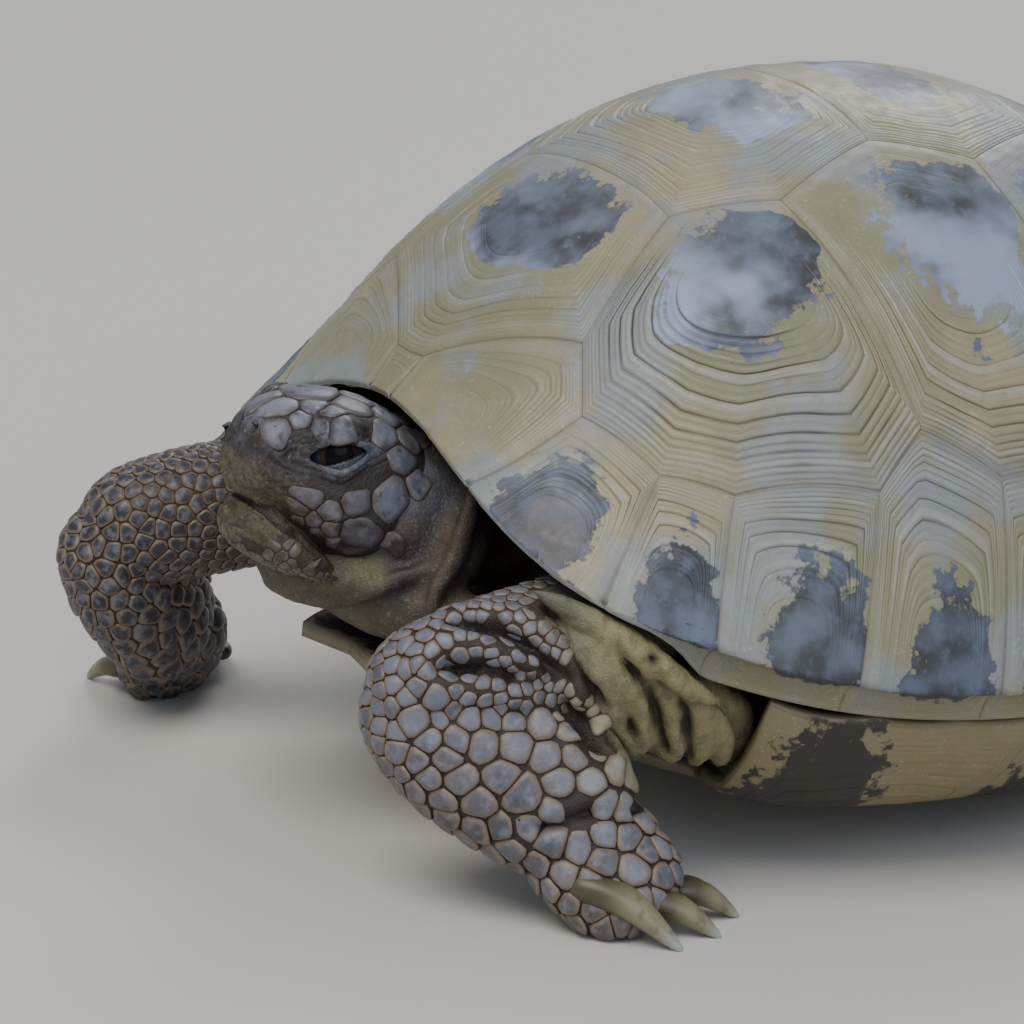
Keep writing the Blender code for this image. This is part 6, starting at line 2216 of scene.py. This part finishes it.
        def unwrap(points: np.ndarray) -> np.ndarray:
            """Round and along the head."""
            local = HEAD.back(points) / MM
            angle = np.arctan2(local[:, 0], -(local[:, 2] + 4.0))
            return np.stack([angle / math.tau + 0.5, np.clip(local[:, 1] / 34.0, 0, 1)], axis=1)

        self.coat.lay("head_scales", mask, size_of, toward, unwrap,
                      Lie(height=0.00032, gap=0.00003, tilt=0.05, crown=0.04, corners=22,
                          reach=2.1), 5, self.plates, marks)

    def tail(self) -> None:
        """Small scales round the tail."""
        index = len(self.lengths) - 1
        mask = (self.part == index) & ~self.inside

        def size_of(points: np.ndarray) -> np.ndarray:
            """Half size of the tail's scales."""
            return np.full(len(points), 0.0009)

        def toward(points: np.ndarray) -> np.ndarray:
            """Towards the tail's tip."""
            return TAIL.axes(TAIL.measure(points)[0])[0]

        def unwrap(points: np.ndarray) -> np.ndarray:
            """Round and along the tail."""
            run, _, angle = TAIL.measure(points)
            return np.stack([angle / math.tau + 0.5, run], axis=1)

        self.coat.lay("tail_scales", mask, size_of, toward, unwrap, Lie(height=0.0003), 71,
                      self.keratin)

    def build(self, skin: Skin) -> None:
        """Lay every coat in order, then paint shade on the skin under and between the scales."""
        self.head()
        for index, leg in enumerate(LEGS):
            self.leg(leg, index)
        self.tail()
        # Painted shade on the skin under the scales: full on the body, a little less on the head.
        skin.hollow[self.coat.faces[self.coat.covered & ~self.coat.is_head]] = 1.0
        heads = self.coat.faces[self.coat.covered & self.coat.is_head]
        skin.hollow[heads] = np.maximum(skin.hollow[heads], 0.75)
        set_values(skin.mesh, "hollow", skin.hollow)


# --- Eyes and claws ----------------------------------------------------------
@dataclass(frozen=True)
class WetEye:
    """The eye's wet, clear surface over a dark iris.

    It shows nearly black, with a deep brown ring and a small bright reflection.
    """

    name: str = "wet_cornea_over_dark_iris"
    pupil: str = "#050506"
    iris: str = "#2A211C"
    white: str = "#20262F"
    lid: str = "#596068"

    def build(self) -> bpy.types.Material:
        """Make the material's nodes."""
        look = Finish(self.name)
        look.shader.inputs["Specular IOR Level"].default_value = 0.12
        gaze = look.read("gaze")
        flecks = look.noise(3000.0, 3.0)
        base = look.mix(self.white, self.iris, look.ramp(gaze, 0.72, 0.80))
        base = look.mix(base, self.white, look.ramp(flecks, 0.52, 0.75, 0.35))
        base = look.mix(base, self.pupil, look.ramp(gaze, 0.86, 0.90))
        veil = look.mix(self.lid, self.white, look.ramp(flecks, 0.45, 0.65, 0.7))
        base = look.mix(base, veil, look.ramp(look.read("third_lid"), 0.3, 0.7))
        return look.done(base, 0.24)


@dataclass(frozen=True)
class ClawHorn:
    """Claw horn, grown in fine lengthwise fibres and worn blunt.

    It shows olive at the root, yellow-grey along its length and pale at the tip.
    """

    name: str = "claw_horn_worn_blunt"
    root: str = "#4A4632"
    body: str = "#7F7C62"
    tip: str = "#A4AEB0"

    def build(self) -> bpy.types.Material:
        """Make the material's nodes."""
        look = Finish(self.name)
        run = look.read("run")
        base = look.mix(self.root, self.body, look.ramp(run, 0.30, 0.62))
        base = look.mix(base, self.tip, look.ramp(run, 0.74, 0.97, 0.8))
        base = look.mix(base, self.root, look.ramp(look.noise(600.0, 4.0), 0.50, 0.74, 0.55))
        # Fibres 0.4 mm apart.
        return look.done(base, 0.38, look.noise(2400.0, 3.0), 0.3, 0.0001)


class Eyes:
    """Both eyeballs, set deep behind their lids."""

    def build(self) -> None:
        """Make each eyeball and the value that says how far it looks aside."""
        material = WetEye().build()
        for side, label in SIDES:
            low, high = (np.array(corner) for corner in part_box(f"eye_{label}"))
            centre, radius = (low + high) / 2.0, HEAD.eye_radius
            gaze, along, over = (HEAD.turn @ axis for axis in HEAD.eye_axes(side))

            def veil(way: np.ndarray) -> np.ndarray:
                """1 where the lower, third lid covers the eye."""
                edge = -0.20 + 0.22 * (way @ along)
                return smooth_step(edge + 0.03, edge - 0.03, way @ over)

            def rule(share: np.ndarray, angle: np.ndarray) -> np.ndarray:
                """Point of the eyeball, its cornea a little raised."""
                way = round_way(share, angle)
                bulge = 0.00010 * smooth_step(0.80, 0.95, way @ gaze)
                return centre + way * (radius - 0.00022 + bulge + 0.00012 * veil(way))[:, None]

            mesh = ball(80, 64, rule)
            way = units(positions(mesh) - centre)
            set_values(mesh, "gaze", way @ gaze)
            set_values(mesh, "third_lid", veil(way))
            made = mesh_object(f"eyeball_{label}", mesh, material)
            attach(made, "root")
            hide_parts(f"eye_{label}")


class Claws:
    """Every claw of the four feet."""

    def build(self) -> None:
        """Make each claw, flat where it stands on the floor."""
        material = ClawHorn().build()
        for leg in LEGS:
            for index, claw in enumerate(leg.claws):
                length = claw.length()
                mesh = length.mesh(0.00005)
                points = positions(mesh)
                run, _, _ = length.measure(points)
                points[:, 2] = np.maximum(points[:, 2], 0.0)
                set_positions(mesh, points)
                set_values(mesh, "run", run)
                node = f"{leg.name}_claw_{index + 1}"
                made = mesh_object(node + "_horn", mesh, material)
                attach(made, "root")
                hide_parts(node)


# --- Room and camera ---------------------------------------------------------
@dataclass(frozen=True)
class Studio:
    """Plain pale floor, soft lights and the camera."""

    azimuth: float = math.radians(58.34375)
    elevation: float = math.radians(17.13814)
    roll: float = math.radians(1.76611)
    distance: float = 0.8748125
    lens: float = 221.253
    sensor: float = 36.0
    target: tuple[float, float, float] = (0.0328548, -0.0730299, 0.0554042)
    floor_grey: str = "#C9C6C0"

    def camera(self) -> None:
        """Set the camera to look at the animal's left shoulder."""
        azimuth, elevation = self.azimuth, self.elevation
        back = Vector((math.sin(azimuth) * math.cos(elevation),
                       -math.cos(azimuth) * math.cos(elevation), math.sin(elevation)))
        right = (-back).cross(Vector((0.0, 0.0, 1.0))).normalized()
        up = right.cross(-back)
        tilted_right = right * math.cos(self.roll) + up * math.sin(self.roll)
        tilted_up = up * math.cos(self.roll) - right * math.sin(self.roll)
        data = bpy.data.cameras.new("camera")
        data.lens = self.lens
        data.sensor_width = self.sensor
        made = linked("camera", data)
        turn = Matrix((tilted_right, tilted_up, back)).transposed()
        target = Vector(self.target) + Vector(SHELL.centre)
        made.matrix_world = Matrix.Translation(target + back * self.distance) @ turn.to_4x4()
        bpy.context.scene.camera = made

    def floor(self) -> None:
        """Lay a wide, flat, pale floor."""
        bm = bmesh.new()
        bmesh.ops.create_grid(bm, x_segments=2, y_segments=2, size=6.0)
        mesh = mesh_from(bm, "floor")
        material = bpy.data.materials.new("matt_painted_board")
        material.use_nodes = True
        shader = material.node_tree.nodes["Principled BSDF"]
        shader.inputs["Base Color"].default_value = linear(self.floor_grey)
        shader.inputs["Roughness"].default_value = 0.9
        mesh_object("floor", mesh, material)

    def light(self, name: str, place: tuple[float, float, float], size: float, power: float,
              colour: str) -> None:
        """Hang one soft round light that faces the animal."""
        data = bpy.data.lights.new(name, "AREA")
        data.shape = "DISK"
        data.size = size
        data.energy = power
        data.color = linear(colour)[:3]
        made = linked(name, data)
        made.location = place
        made.rotation_euler = (-Vector(place)).to_track_quat("-Z", "Y").to_euler()

    def build(self) -> None:
        """Make floor, lights, sky and camera."""
        self.floor()
        self.light("key", (0.35, -0.75, 1.25), 0.9, 14.0, "#FFF6EA")
        self.light("fill", (1.3, -0.2, 0.7), 1.2, 7.0, "#E6EEFF")
        self.light("rim", (-0.9, 0.9, 1.0), 0.8, 8.0, "#FFFFFF")
        world = bpy.data.worlds.new("soft_sky")
        bpy.context.scene.world = world
        world.use_nodes = True
        shade = world.node_tree.nodes["Background"]
        shade.inputs["Color"].default_value = linear("#DDE6F2")
        shade.inputs["Strength"].default_value = 0.55
        self.camera()


def main() -> None:
    """Build every sub-assembly in order."""
    Studio().build()
    Shell(PlatePattern()).build()
    Eyes().build()
    Claws().build()
    skin = Skin()
    skin.build()
    Hide(Coat(skin)).build(skin)


if __name__ == "__main__":
    main()
